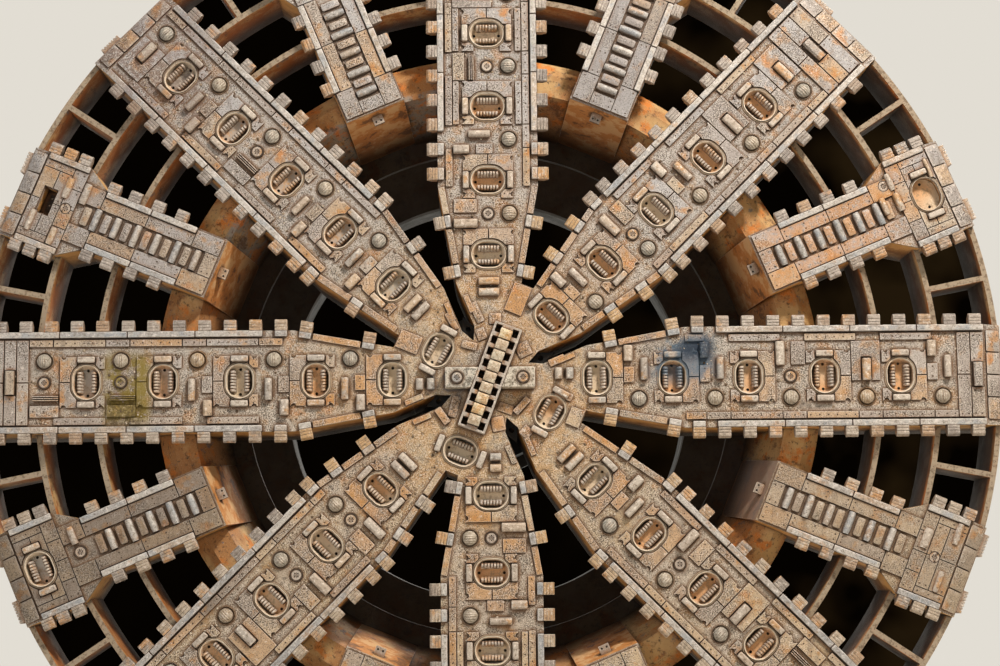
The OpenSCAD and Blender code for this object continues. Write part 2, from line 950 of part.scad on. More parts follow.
// Half the width inside the rails and pads of a main spoke, less a joint
function clear_width(x) = half_width(x) - rail_w - wear_gap;

// Corner plates at the ports, the inward ones where the spoke is wide enough for them
module corner_plates() {
    color(face_steel)
        for (k = [0:MAIN - 1])
            for (x = ports(k))
                on_head(main_angle(k))
                    translate([x, 0, 0])
                        port_corner_plates(
                            clear_width(x - corner_in) < corner_y ? [corner_out] : [corner_out, -corner_in]
                        );
}

// A strip beside a main spoke's rails, as far as there is straight edge and free face for it
module edge_strip(k, start, stop, y) {
    from = max(start, taper_r);
    to = min(stop, rim_start(k) - wear_gap);
    if (to - from > scraper_l)
        slab(0, wear_t)
            area([from, to], y);
}

// Strips beside the rails: long ones at the ports, short ones between them
module edge_strips() {
    outer = main_half - strip_inset;
    band = [outer - strip_w, outer];
    long = strip_l - corner_in;
    color(face_steel)
        for (k = [0:MAIN - 1])
            on_head(main_angle(k)) {
                for (x = ports(k)) {
                    edge_strip(k, x - corner_in - wear_gap, x + long - wear_gap, band);
                    mirror([0, 1, 0]) {
                        edge_strip(k, x - corner_in, x + long, band);
                        edge_strip(k, x + long + wear_gap, x + gap_stop, band);
                    }
                    if (second_strips(k) && x - corner_in > taper_r)
                        for (side = [0, 1])
                            mirror([0, side, 0])
                                edge_strip(k, x - corner_in, x + corner_out,
                                           [corner_y + notch_r + wear_gap, band[0] - wear_gap]);
                }
                for (x = slope_strips(k))
                    at_edges(x[0])
                        slab(0, wear_t)
                            area([0, (x[1] - x[0]) / cos(lean)], [-rail_w, 0]);
            }
}

// The upright main spokes have a second row of strips
function second_strips(k) = main_angle(k) % 180 == 90;

// Where the tapered edges carry strips: start and end, between the scrapers' pads
function slope_strips(k) =
    let (stops = concat([web_r], main_table[k][INNER_SCRAPERS], [taper_r + scraper_l / 2]))
    [for (i = [0:len(stops) - 2])
        let (start = stops[i] + (i > 0 ? pad_room : 0), stop = stops[i + 1] - pad_room)
        if (stop - start > scraper_l)
            [start, stop]];

// A spoke with more gaps than its row has layouts takes them in turn again
function layout_of_gap(k, n) =
    let (row = main_table[k][GAPS])
    row[n % len(row)];

// Its children between two ports of a main spoke wherever the gap has one of these layouts,
// with $outer as their reach from the spoke's axis
module in_gaps(layouts) {
    for (k = [0:MAIN - 1])
        for (n = [0:len(ports(k)) - 1])
            if (len(search(layout_of_gap(k, n), layouts)) > 0)
                if (port_x(k, n) + gap_stop < main_end_r - bevel_l)
                    on_head(main_angle(k))
                        translate([port_x(k, n), 0, 0]) {
                            $outer = min(main_half - strip_inset - strip_w - wear_gap,
                                         clear_width(port_x(k, n) + gap_start));
                            children();
                        }
}

// Plates and ridged strips between ports, on the counter-clockwise side
module gap_plates() {
    color(face_steel) {
        in_gaps([TWO_BARS])
            slab(0, wear_t)
                area([gap_start, gap_mid - wear_bar_w / 2], [-plug_r, $outer / 3]);
        in_gaps([BAR_AND_PLUG])
            slab(0, wear_t)
                area([gap_mid + wear_gap, gap_stop], [$outer / 3, $outer]);
        in_gaps([PLATE_AND_PLUG]) {
            slab(0, wear_t)
                area([gap_start, gap_stop - wear_gap], [$outer * 2 / 3, $outer]);
            for (i = [-1:1])
                translate([0, $outer * 0.46 + i * 2 * wear_gap, 0])
                    slab(0, 2 * wear_t)
                        area([gap_start, gap_stop - 4 * wear_gap], [-wear_gap / 2, wear_gap / 2]);
        }
        in_gaps([FRAMED_BAR])
            slab(0, wear_t)
                difference() {
                    area([gap_start, gap_stop - wear_gap], [-plug_r, $outer]);
                    area([gap_mid - wear_bar_w / 2 - wear_gap, gap_mid + wear_bar_w / 2 + wear_gap],
                         [-plug_r - cut, wear_bar_l - plug_r]);
                }
    }
}

// Raised bars between ports, and on the centre block inward of the innermost ports
module wear_bars() {
    low_l = wear_bar_l - 2 * wear_gap;
    color(tool_steel) {
        in_gaps([TWO_BARS]) {
            translate([gap_mid + wear_bar_w / 2 + wear_gap, (low_l - plug_r) / 2, 0])
                bevelled_bar(low_l, wear_bar_w - 2 * wear_gap, wear_bar_h);
            translate([gap_start + wear_bar_w / 2, $outer - wear_bar_l / 3, 0])
                bevelled_bar(wear_bar_l * 2 / 3, wear_bar_w, wear_bar_h);
        }
        in_gaps([BAR_AND_PLUG])
            translate([gap_start + wear_bar_w / 2, $outer - wear_bar_l / 2, 0])
                bevelled_bar(wear_bar_l, wear_bar_w, wear_bar_h);
        in_gaps([FRAMED_BAR])
            translate([gap_mid, low_l / 2 - plug_r, 0])
                bevelled_bar(low_l, wear_bar_w, wear_bar_h);
        for (k = [0:MAIN - 1])
            if (joint_r(k) - 2 * row_pitch > centre_clear)
                on_head(main_angle(k))
                    for (i = [0, 1])
                        translate([joint_r(k) - (i + 0.7) * row_pitch, centre_bar_y(k), 0])
                            bevelled_bar(row_bar_l - 2 * centre_bar_y(k), row_bar_w, row_bar_h);
    }
}

// A spoke with a port of the centre block beside it has its two inner bars shorter and to one side
function centre_bar_y(k) = main_table[k][SPIRAL] <= len(centre_ports) ? row_bar_l * 0.23 : 0;

// Radius at which the plates at a main spoke's rim end start
function rim_start(k) =
    let (last = ports(k)[len(ports(k)) - 1])
    last + (last + gap_stop < main_end_r - bevel_l ? gap_stop : corner_out) + wear_gap;

// Plates across each main spoke near its rim end, every second row with a raised bar in the middle
module rim_end_plates() {
    outer = main_half - strip_inset;
    for (k = [0:MAIN - 1]) {
        room = main_end_r - bevel_l - wear_gap - rim_start(k);
        count = max(1, round(room / (2 * strip_w)));
        step = room / count;
        if (room > strip_w)
            on_head(main_angle(k))
                for (i = [0:count - 1])
                    translate([rim_start(k) + i * step, 0, 0]) {
                        middle = i % 2 == 0 ? wear_gap / 2 : wear_bar_l / 2 + wear_gap;
                        color(face_steel)
                            for (side = [0, 1])
                                mirror([0, side, 0])
                                    slab(0, wear_t)
                                        area([0, step - wear_gap], [middle, outer]);
                        if (i % 2 == 1)
                            color(tool_steel)
                                translate([(step - wear_gap) / 2, 0, 0])
                                    bevelled_bar(wear_bar_l, wear_bar_w, wear_bar_h);
                    }
    }
}

// Round wear bosses with crowned tops, on the clockwise side between ports
module wear_domes() {
    crown_r = dome_r * 2;
    color(tool_steel)
        in_gaps([TWO_BARS, BAR_AND_PLUG, PLATE_AND_PLUG, FRAMED_BAR])
            translate([gap_mid, -dome_y, 0]) {
                intersection() {
                    cylinder(h = dome_h, r = dome_r, $fn = small_fn);
                    translate([0, 0, dome_h - crown_r])
                        sphere(crown_r, $fn = 2 * small_fn);
                }
                difference() {
                    cylinder(h = wear_t / 2, r = dome_r + wear_t, $fn = small_fn);
                    translate([0, 0, -cut])
                        cylinder(h = wear_t + cut, r = dome_r + seat_gap, $fn = small_fn);
                }
            }
}

// A round plug with a cross cut into its top
module plug() {
    difference() {
        cylinder(h = plug_h, r = plug_r, $fn = small_fn);
        for (turn = [45, 135])
            rotate([0, 0, turn])
                translate([-plug_r * 2 / 3, -groove_w / 2, plug_h / 2])
                    cube([plug_r * 4 / 3, groove_w, plug_h]);
    }
}

// Plugs between ports, on the centre cutter's arms and on the short spokes
module plugs() {
    color(tool_steel) {
        in_gaps([BAR_AND_PLUG, PLATE_AND_PLUG])
            translate([gap_mid, 0, 0])
                plug();
        for (side = [0, 180])
            on_head(side)
                translate([arm_start + arm_l * 0.6, 0, centre_h])
                    plug();
        for (k = [0:SHORT - 1])
            on_head(short_table[k][ANGLE])
                translate([wide_r + short_table[k][PLUG_PLACE][0], short_table[k][PLUG_PLACE][1], 0])
                    plug();
    }
}

// A ridged block on the end wall of a spoke
module gauge_block(end_r, y) {
    translate([end_r, y, 0])
        rotate([0, 0, -90])
            slab(-bevel_h - gauge_w, -bevel_h - wear_t)
                polygon(concat(
                    [[gauge_w / 2, seat_gap], [-gauge_w / 2, seat_gap]],
                    ridges(gauge_w, ridge_count, gauge_out, gauge_out / 3)
                ));
}

// Gauge blocks on the rim ends of the spokes, which cut the bore to size
module gauge_blocks() {
    color(tool_steel) {
        for (k = [0:MAIN - 1])
            on_head(main_angle(k))
                gauge_block(main_end_r, main_half / 2);
        for (side = [-1, 1])
            on_short_spokes()
                gauge_block(short_end_r, side * (short_wide_half - gauge_w / 2 - rail_w));
    }
}

// Ladder frame of the centre cutter
module centre_frame() {
    bay = centre_l / centre_blocks;
    rib = bay / 3;
    color(tool_steel)
        on_head(centre_angle)
            slab(0, centre_h)
                difference() {
                    square([centre_l, centre_w], center = true);
                    square([centre_l - 2 * rib, centre_row_w + 2 * seat_gap], center = true);
                    for (i = [0:centre_blocks - 1])
                        for (side = [-1, 1])
                            translate([(i + 0.5) * bay - centre_l / 2,
                                       side * (centre_row_w / 2 + centre_pocket_w / 2)])
                                square([bay - rib, centre_pocket_w + cut], center = true);
                }
}

// Row of cutter blocks down the middle of the centre cutter, each with a sloping top
module centre_cutters() {
    bay = centre_l / centre_blocks;
    inner_l = centre_l - 2 * bay / 3;
    block_l = inner_l / centre_blocks;
    half = (block_l - wear_gap) / 2;
    color(tool_steel)
        on_head(centre_angle)
            for (i = [0:centre_blocks - 1])
                translate([-inner_l / 2 + (i + 0.5) * block_l, 0, 0])
                    side_slab(centre_row_w)
                        polygon([
                            [-half, 0], [half, 0], [half, centre_h + cutter_rise / 3],
                            [0, centre_h + cutter_rise], [-half, centre_h + cutter_rise / 3]
                        ]);
}

// Blocks that brace the centre cutter on both sides
module centre_arms() {
    slope = arm_w / 2 / tan(centre_angle);
    color(face_steel)
        for (side = [0, 180])
            on_head(side)
                slab(0, centre_h)
                    polygon([
                        [arm_start - slope + seat_gap, -arm_w / 2], [arm_start + arm_l, -arm_w / 2],
                        [arm_start + arm_l, arm_w / 2], [arm_start + slope + seat_gap, arm_w / 2]
                    ]);
}

// Strips along the deep slots, and plates ahead of the shallow ones
module centre_plates() {
    strip_y = slot_w / 2 + wear_gap;
    color(face_steel)
        for (slot = slot_table)
            on_head(slot[ANGLE])
                for (side = [-1, 1])
                    if (side != -slot[PLATE_SIDE])
                        mirror([0, side < 0 ? 1 : 0, 0])
                            slab(0, wear_t)
                                if (slot[SLOT_DEEP])
                                    area([slot[PLATE_FROM], web_r - 2 * strip_w],
                                         [strip_y, strip_y + slot_strip_w]);
                                else if (slot[PLATE_FROM] > 0)
                                    area([slot[PLATE_FROM], web_r - wear_gap],
                                         [-slot_strip_w, 2.5 * slot_strip_w]);
}

// Bars across the middle of each short spoke, flat and raised in turn
module short_row_bars() {
    start = short_r + 2 * row_pitch;
    color(tool_steel)
        for (k = [0:SHORT - 1])
            on_head(short_table[k][ANGLE]) {
                plug_x = wide_r + short_table[k][PLUG_PLACE][0];
                stop = short_table[k][PLUG_PLACE][1] == 0
                    ? min(wide_r, plug_x - plug_r) - row_bar_w
                    : wide_r - row_bar_w;
                for (i = [0:floor((stop - start) / row_pitch)])
                    translate([start + i * row_pitch, 0, 0])
                        if (i % 2 == 0)
                            bevelled_bar(row_bar_l + (i % 4) * wear_gap, row_bar_w, row_bar_h);
                        else
                            slab(0, wear_t)
                                square([row_bar_w, row_bar_l - wear_t], center = true);
            }
}

// The face plates of one short spoke, without the cuts for its port, window and plug
module short_plates() {
    row_y = row_bar_l / 2 + 2 * wear_gap;
    rail_x = short_r + short_half;
    mid_x = (rail_x + flare_r) / 2;
    face_end = short_end_r - bevel_l;
    strip_out = short_half - rail_w - wear_gap;
    rim_out = short_wide_half - rail_w - wear_gap;
    area([short_r + 2 * wear_gap, short_r + row_pitch + row_bar_w / 2], [wear_gap - row_y, row_y - wear_gap]);
    for (side = [0, 1])
        mirror([0, side]) {
            area([short_r + 2 * wear_gap, rail_x - wear_gap], [row_y, short_half - 2 * wear_gap]);
            area([rail_x, mid_x], [row_y, strip_out]);
            area([mid_x + wear_gap, flare_r - wear_gap], [row_y, strip_out]);
            area([flare_r, wide_r - wear_gap], [row_y, short_half - wear_gap]);
            area([wide_r, wide_r + strip_w * 2], [wear_gap / 2, rim_out / 2]);
            area([wide_r, wide_r + strip_w * 2], [rim_out / 2 + wear_gap, rim_out]);
            area([wide_r + strip_w * 2 + wear_gap, face_end - wear_gap], [rim_out - strip_w, rim_out]);
            area([wide_r + strip_w * 2 + wear_gap, wide_r + strip_w * 4],
                 [wear_gap / 2, rim_out - strip_w - wear_gap]);
            area([wide_r + strip_w * 4 + wear_gap, face_end - wear_gap],
                 [wear_gap / 2, rim_out - strip_w - wear_gap]);
        }
}

module short_face_plates() {
    color(face_steel)
        for (k = [0:SHORT - 1])
            on_head(short_table[k][ANGLE])
                slab(0, wear_t)
                    difference() {
                        short_plates();
                        translate([wide_r + short_table[k][PLUG_PLACE][0], short_table[k][PLUG_PLACE][1]])
                            circle(plug_r + wear_gap, $fn = small_fn);
                        if (short_table[k][RIM_FEATURE] == WINDOW)
                            translate([short_port_r, 0])
                                square([port_end_r + 2 * wear_gap, 2 * port_end_r + 2 * wear_gap], center = true);
                        if (short_table[k][RIM_FEATURE] > WINDOW)
                            translate([short_port_r, 0]) {
                                racetrack(port_out_r + wear_gap, port_straight);
                                square([side_block_l + 2 * wear_gap,
                                        port_straight + 2 * (port_out_r + side_block_w + wear_gap)],
                                       center = true);
                            }
                    }
}

// Small brackets with two holes, on the sloping inner end of each short spoke
module end_brackets() {
    slope = (short_r - ring_back_r) / spoke_depth;
    wall_top = short_r - slope * bracket_set;
    wall_foot = short_r - slope * (bracket_set + bracket_w);
    color(tool_steel)
        on_short_spokes()
            difference() {
                side_slab(bracket_w)
                    polygon([
                        [wall_top - seat_gap, -bracket_set], [wall_top - bracket_out, -bracket_set],
                        [wall_top - bracket_out, -bracket_set - bracket_w / 2],
                        [wall_foot - seat_gap, -bracket_set - bracket_w]
                    ]);
                for (side = [-1, 1])
                    translate([wall_top - bracket_out * 2 / 3, side * bracket_w / 4, -bracket_set - wear_t])
                        cylinder(h = 2 * wear_t, r = floor_hole_r * 0.8, $fn = small_fn);
            }
}

bearing_housing();
bearing_rotor();
drive_flange();
drive_legs();
back_ring();
support_ring();
centre_block();
hub_column();
for (k = [1:MAIN])
    main_spoke(k - 1);
for (k = [1:SHORT])
    short_spoke(k - 1);
inner_ring_plates();
outer_ring_plates();
rim_plates();
gap_webs();
main_rails();
main_scrapers();
short_rails();
short_scrapers();
port_collars();
port_bars();
port_side_blocks();
corner_plates();
edge_strips();
gap_plates();
wear_bars();
rim_end_plates();
wear_domes();
plugs();
gauge_blocks();
centre_frame();
centre_cutters();
centre_arms();
centre_plates();
slot_lugs();
short_row_bars();
short_face_plates();
end_brackets();
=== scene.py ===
# Cutterhead of a tunnel boring machine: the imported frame, dressed with worn steel, welds, rust and
# dried mud, and set on a pale floor under soft light.
import json
import math

import bmesh
import bpy
import numpy as np
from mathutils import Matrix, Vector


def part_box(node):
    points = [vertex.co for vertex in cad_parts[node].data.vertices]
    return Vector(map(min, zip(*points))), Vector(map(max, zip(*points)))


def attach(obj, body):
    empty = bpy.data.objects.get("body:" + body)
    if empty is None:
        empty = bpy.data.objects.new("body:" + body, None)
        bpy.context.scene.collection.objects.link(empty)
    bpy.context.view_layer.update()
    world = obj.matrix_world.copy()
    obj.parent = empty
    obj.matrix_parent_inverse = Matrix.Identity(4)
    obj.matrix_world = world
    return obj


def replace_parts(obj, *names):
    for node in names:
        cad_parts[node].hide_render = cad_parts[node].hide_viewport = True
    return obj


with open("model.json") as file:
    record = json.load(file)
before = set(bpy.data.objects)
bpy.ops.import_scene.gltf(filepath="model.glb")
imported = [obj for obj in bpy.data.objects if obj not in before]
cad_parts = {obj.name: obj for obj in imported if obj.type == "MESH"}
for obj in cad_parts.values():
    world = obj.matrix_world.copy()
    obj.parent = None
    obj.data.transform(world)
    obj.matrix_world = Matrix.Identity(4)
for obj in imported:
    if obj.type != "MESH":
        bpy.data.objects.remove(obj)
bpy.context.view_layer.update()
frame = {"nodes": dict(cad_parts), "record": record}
nodes = frame["nodes"]
slotOf = {part["node"]: part["material_slot"] for part in frame["record"]["subparts"]}
print("frame loaded:", len(nodes), "nodes")

# Places that several pieces share, in metres and degrees
head = {
    "faceY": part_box("main_spoke_1")[0].y,   # plane of the spokes' faces
    "mainAngles": 45.0 * np.arange(8),
    "shortAngles": 22.5 + 45.0 * np.arange(8),
    "centreAngles": [247.5, 330.5, 150.5],  # of the three ports in the centre block
    "sunk": 0.002,                          # how deep the foot of an added piece lies in the steel
}
bothAngles = np.concatenate([head["mainAngles"], head["shortAngles"]])
everyAngle = np.append(bothAngles, head["centreAngles"])


# A place given along, across and above a spoke that points at an angle, in the row frame
def onSpoke(angle, along, across, height):
    turn = np.radians(angle)
    x = along * np.cos(turn) - across * np.sin(turn)
    z = along * np.sin(turn) + across * np.cos(turn)
    return np.stack(np.broadcast_arrays(x, head["faceY"] - height, z), axis=-1)


# sRGB hex to the linear values that Blender's sockets take
def colour(hexValue):
    srgb = np.array([int(hexValue[i:i + 2], 16) for i in (0, 2, 4)]) / 255
    linear = np.where(srgb <= 0.04045, srgb / 12.92, ((srgb + 0.055) / 1.055) ** 2.4)
    return (*linear.tolist(), 1.0)


# One node with its settings, and its inputs either set or linked. It gives the node's outputs
def addNode(tree, kind, inputs=None, **settings):
    node = tree.nodes.new("ShaderNode" + kind)
    for name, value in settings.items():
        setattr(node, name, value)
    for name, value in (inputs or {}).items():
        if isinstance(value, bpy.types.NodeSocket):
            tree.links.new(value, node.inputs[name])
        else:
            node.inputs[name].default_value = value
    return node.outputs


# The camera stands where the photograph's did: a long lens from a little below the centre
view = {"place": (-0.339, -38.193, -3.419), "turn": (97.1496, 0.6156, -0.8097),
        "lens": 72, "sensor": 36, "farthest": 400}
camera = bpy.data.objects.new("camera", bpy.data.cameras.new("camera"))
camera.location = view["place"]
camera.rotation_euler = [math.radians(v) for v in view["turn"]]
camera.data.lens = view["lens"]
camera.data.sensor_width = view["sensor"]
camera.data.clip_end = view["farthest"]
scene = bpy.context.scene
scene.collection.objects.link(camera)
scene.camera = camera
scene.view_settings.view_transform = "Standard"

# Floor, lights and background
studio = {
    "floorZ": -8.85,
    "floorHalf": 80.0,
    "floorColours": ("e2ddd3", "dad5cb"),
    "floorMottle": 0.4,
    "floorRoughness": 0.7,
    "fade": (15.0, 34.0),    # away from the head the floor turns into the plain background
    "lights": {
        # name: place, aimed at, size, power, colour
        "keyLight": ((13, -25, 25), (0, -4, 0), 5, 13500, "fff5ea"),
        "fillLight": ((-20, -28, 4), (0, -4, -1), 16, 1300, "e9f0ff"),
        "rearLight": ((14, 26, 20), (0, 0, 0), 10, 7500, "fff8f0"),
        "topLight": ((-4, 6, 30), (0, -2, 0), 16, 3500, "fff8f0"),
    },
    "background": "e2ddd3",
    "ambient": 0.40,
    "ambientBehind": 0.12,   # from behind the head, where little light comes
    "turnsBehind": (0.2, 0.8),          # share of a ray's way along +Y at which one becomes the other
    "openAhead": (0.9, 0.8),            # the same share at which a view line no longer meets the dark
    "shadePlane": -3.4,                 # the dark reaches as far as this radius in this plane
    "shadeRadius": (8.66, 8.71),
    # the dark beyond the openings is painted shade, and the murk is faint painted light in it
    "depths": "e0b070",                 # cast of what little shows in the dark
    "murkScale": 0.45,
    "murk": (0.42, 0.6),                # values of the noise over which it shows
    "murkLevels": (0.0015, 0.002, 0.02),    # its least, and its most on the left and on the right
    "murkRight": (1.0, 5.5),            # x over which left becomes right
}
for name, (place, aim, size, power, hexValue) in studio["lights"].items():
    light = bpy.data.objects.new(name, bpy.data.lights.new(name, "AREA"))
    light.data.shape = "DISK"
    light.data.size = size
    light.data.energy = power
    light.data.color = colour(hexValue)[:3]
    light.location = place
    way = np.array(aim) - np.array(place)
    light.rotation_euler = (math.acos(-way[2] / np.linalg.norm(way)), 0, math.atan2(-way[0], way[1]))
    scene.collection.objects.link(light)


# 1 for the camera's own rays, and 1 for the rays that metal or glass sends on
def rayKinds(tree):
    ray = addNode(tree, "LightPath")
    sentOn = {0: ray["Is Glossy Ray"], 1: ray["Is Transmission Ray"]}
    return ray["Is Camera Ray"], addNode(tree, "Math", sentOn, operation="MAXIMUM")[0]


corners = studio["floorHalf"] * np.array([(-1, -1), (1, -1), (1, 1), (-1, 1)])
floorMesh = bpy.data.meshes.new("floor")
floorMesh.from_pydata([(x, y, studio["floorZ"]) for x, y in corners.tolist()], [], [(0, 1, 2, 3)])
floor = bpy.data.objects.new("floor", floorMesh)
scene.collection.objects.link(floor)
floorPaint = bpy.data.materials.new("floorPaint")
floorPaint.use_nodes = True
floorMesh.materials.append(floorPaint)
tree = floorPaint.node_tree
paint = tree.nodes["Principled BSDF"]
where = addNode(tree, "TexCoord")["Object"]
mottle = addNode(tree, "TexNoise", {"Vector": where, "Scale": studio["floorMottle"]})[0]
pale, dim = studio["floorColours"]
mixed = addNode(tree, "Mix", {0: mottle, 6: colour(pale), 7: colour(dim)}, data_type="RGBA")
tree.links.new(mixed[2], paint.inputs["Base Color"])
paint.inputs["Roughness"].default_value = studio["floorRoughness"]
onFloor = addNode(tree, "VectorMath", {0: where}, operation="LENGTH")["Value"]   # from below the head
start, end = studio["fade"]
fade = addNode(tree, "MapRange", {"Value": onFloor, "From Min": start, "From Max": end},
               interpolation_type="SMOOTHSTEP")[0]
fromCamera, sentOn = rayKinds(tree)
looking = addNode(tree, "Math", {0: fromCamera, 1: sentOn}, operation="MAXIMUM")[0]
faded = addNode(tree, "Math", {0: fade, 1: looking}, operation="MULTIPLY")[0]
glow = addNode(tree, "Emission", {"Color": colour(studio["background"])})[0]
both = addNode(tree, "MixShader", {0: faded, 1: paint.outputs[0], 2: glow})[0]
tree.links.new(both, tree.nodes["Material Output"].inputs["Surface"])

# The world is pale to the camera, but dark where the photograph's camera looks through the openings:
# the view direction is carried on to the shade plane, and its distance from the axis is measured there
# This dark is painted shade of the space behind the head; the murk noise paints faint light in it, more on
# the right
world = bpy.data.worlds.new("studio")
scene.world = world
world.use_nodes = True
tree = world.node_tree
way = addNode(tree, "TexCoord")["Generated"]
forward = addNode(tree, "SeparateXYZ", {0: way})[1]
allForward = addNode(tree, "CombineXYZ", {0: forward, 1: forward, 2: forward})[0]
slope = addNode(tree, "VectorMath", {0: way, 1: allForward}, operation="DIVIDE")[0]
reach = studio["shadePlane"] - camera.location.y
start = (camera.location.x, 0, camera.location.z)
meets = addNode(tree, "VectorMath", {0: slope, 1: (reach, 0, reach), 2: start}, operation="MULTIPLY_ADD")[0]
apart = addNode(tree, "VectorMath", {0: meets}, operation="LENGTH")["Value"]
outside, slanting = [
    addNode(tree, "MapRange", {"Value": value, "From Min": start, "From Max": end})[0]
    for value, (start, end) in ((apart, studio["shadeRadius"]), (forward, studio["openAhead"]))]
paleShare = addNode(tree, "Math", {0: outside, 1: slanting}, operation="MAXIMUM")[0]
darkShare = addNode(tree, "Math", {0: 1.0, 1: paleShare}, operation="SUBTRACT")[0]
least, leftMost, rightMost = studio["murkLevels"]
start, end = studio["murkRight"]
toRight = addNode(tree, "MapRange", {"Value": addNode(tree, "SeparateXYZ", {0: meets})[0], "From Min": start,
                                     "From Max": end, "To Min": leftMost, "To Max": rightMost})[0]
murk = addNode(tree, "TexNoise", {"Vector": meets, "Scale": studio["murkScale"], "Detail": 3.0})[0]
start, end = studio["murk"]
deep = addNode(tree, "MapRange", {"Value": murk, "From Min": start, "From Max": end,
                                  "To Min": least, "To Max": toRight})[0]
seen = addNode(tree, "MapRange", {"Value": paleShare, "To Min": deep, "To Max": 1.0})[0]
start, end = studio["turnsBehind"]
ambient = addNode(tree, "MapRange", {"Value": forward, "From Min": start, "From Max": end,
                                     "To Min": studio["ambient"], "To Max": studio["ambientBehind"]})[0]
fromCamera, sentOn = rayKinds(tree)
around = addNode(tree, "Mix", {0: sentOn, 2: ambient, 3: paleShare}, data_type="FLOAT")[0]
level = addNode(tree, "Mix", {0: fromCamera, 2: around, 3: seen}, data_type="FLOAT")[0]
tree.links.new(level, tree.nodes["Background"].inputs["Strength"])
browned = addNode(tree, "Math", {0: fromCamera, 1: darkShare}, operation="MULTIPLY")[0]
tint = addNode(tree, "Mix", {0: browned, 6: colour(studio["background"]), 7: colour(studio["depths"])},
               data_type="RGBA")[2]
tree.links.new(tint, tree.nodes["Background"].inputs["Color"])
print("camera, floor and light in place")

# Finishes
# A finish is a ground colour with layers over it. A layer is a colour, the most that it covers,
# and the patterns that it shows through: each a name and the two values between which it comes in.
# Patterns are noises given by their size in millimetres, detail, roughness and any stretch, and these:
# the corner pattern (dirt and painted shade, deep in corners), the edge pattern (wear and painted highlight,
# on edges), tint (each piece's own shade), height above the face, facing (1 where a surface looks forward),
# inward (1 where it looks to the axis), radius, x and z.
# Roughness is a pattern and its smooth and rough ends, and a bump a pattern and its depth in metres.
grimeShadeAndHighlight = {
    "dirtAndShadeReach": 0.085,      # metres from a corner over which dirt and painted shade thin out
    "wearReach": 0.016,      # metres from an edge that are rubbed and take a painted highlight
    "cornerSamples": 4, "edgeSamples": 2,
    "edgeTurn": (0.995, 0.9),     # likeness of the rounded and the true normal, from flat to edge
    "clearOfDirtAndShade": (0.75, 0.95),  # openness from which an edge is rubbed and takes a painted highlight
    "glossSpread": (0.35, 0.65),  # values of a noise that take the smooth and the rough end
}
fineCrust = (20, 4, 0.75)    # grit of dried spray, drawn twice as coarse as it is so that it shows
coarseCrust = (75, 5, 0.7)
patchSize = (420, 6, 0.65)
broadSize = (2400, 3, 0.5)
boxGrain = {"fine": fineCrust, "coarse": coarseCrust, "patch": patchSize, "broad": broadSize}
boxZones = {**boxGrain, "zone": (700, 3, 0.6)}
groundGrain = {"fine": (18, 3, 0.7), "coarse": (55, 4, 0.7)}
castGrain = {"fine": (18, 3, 0.75), "coarse": (60, 4, 0.7)}


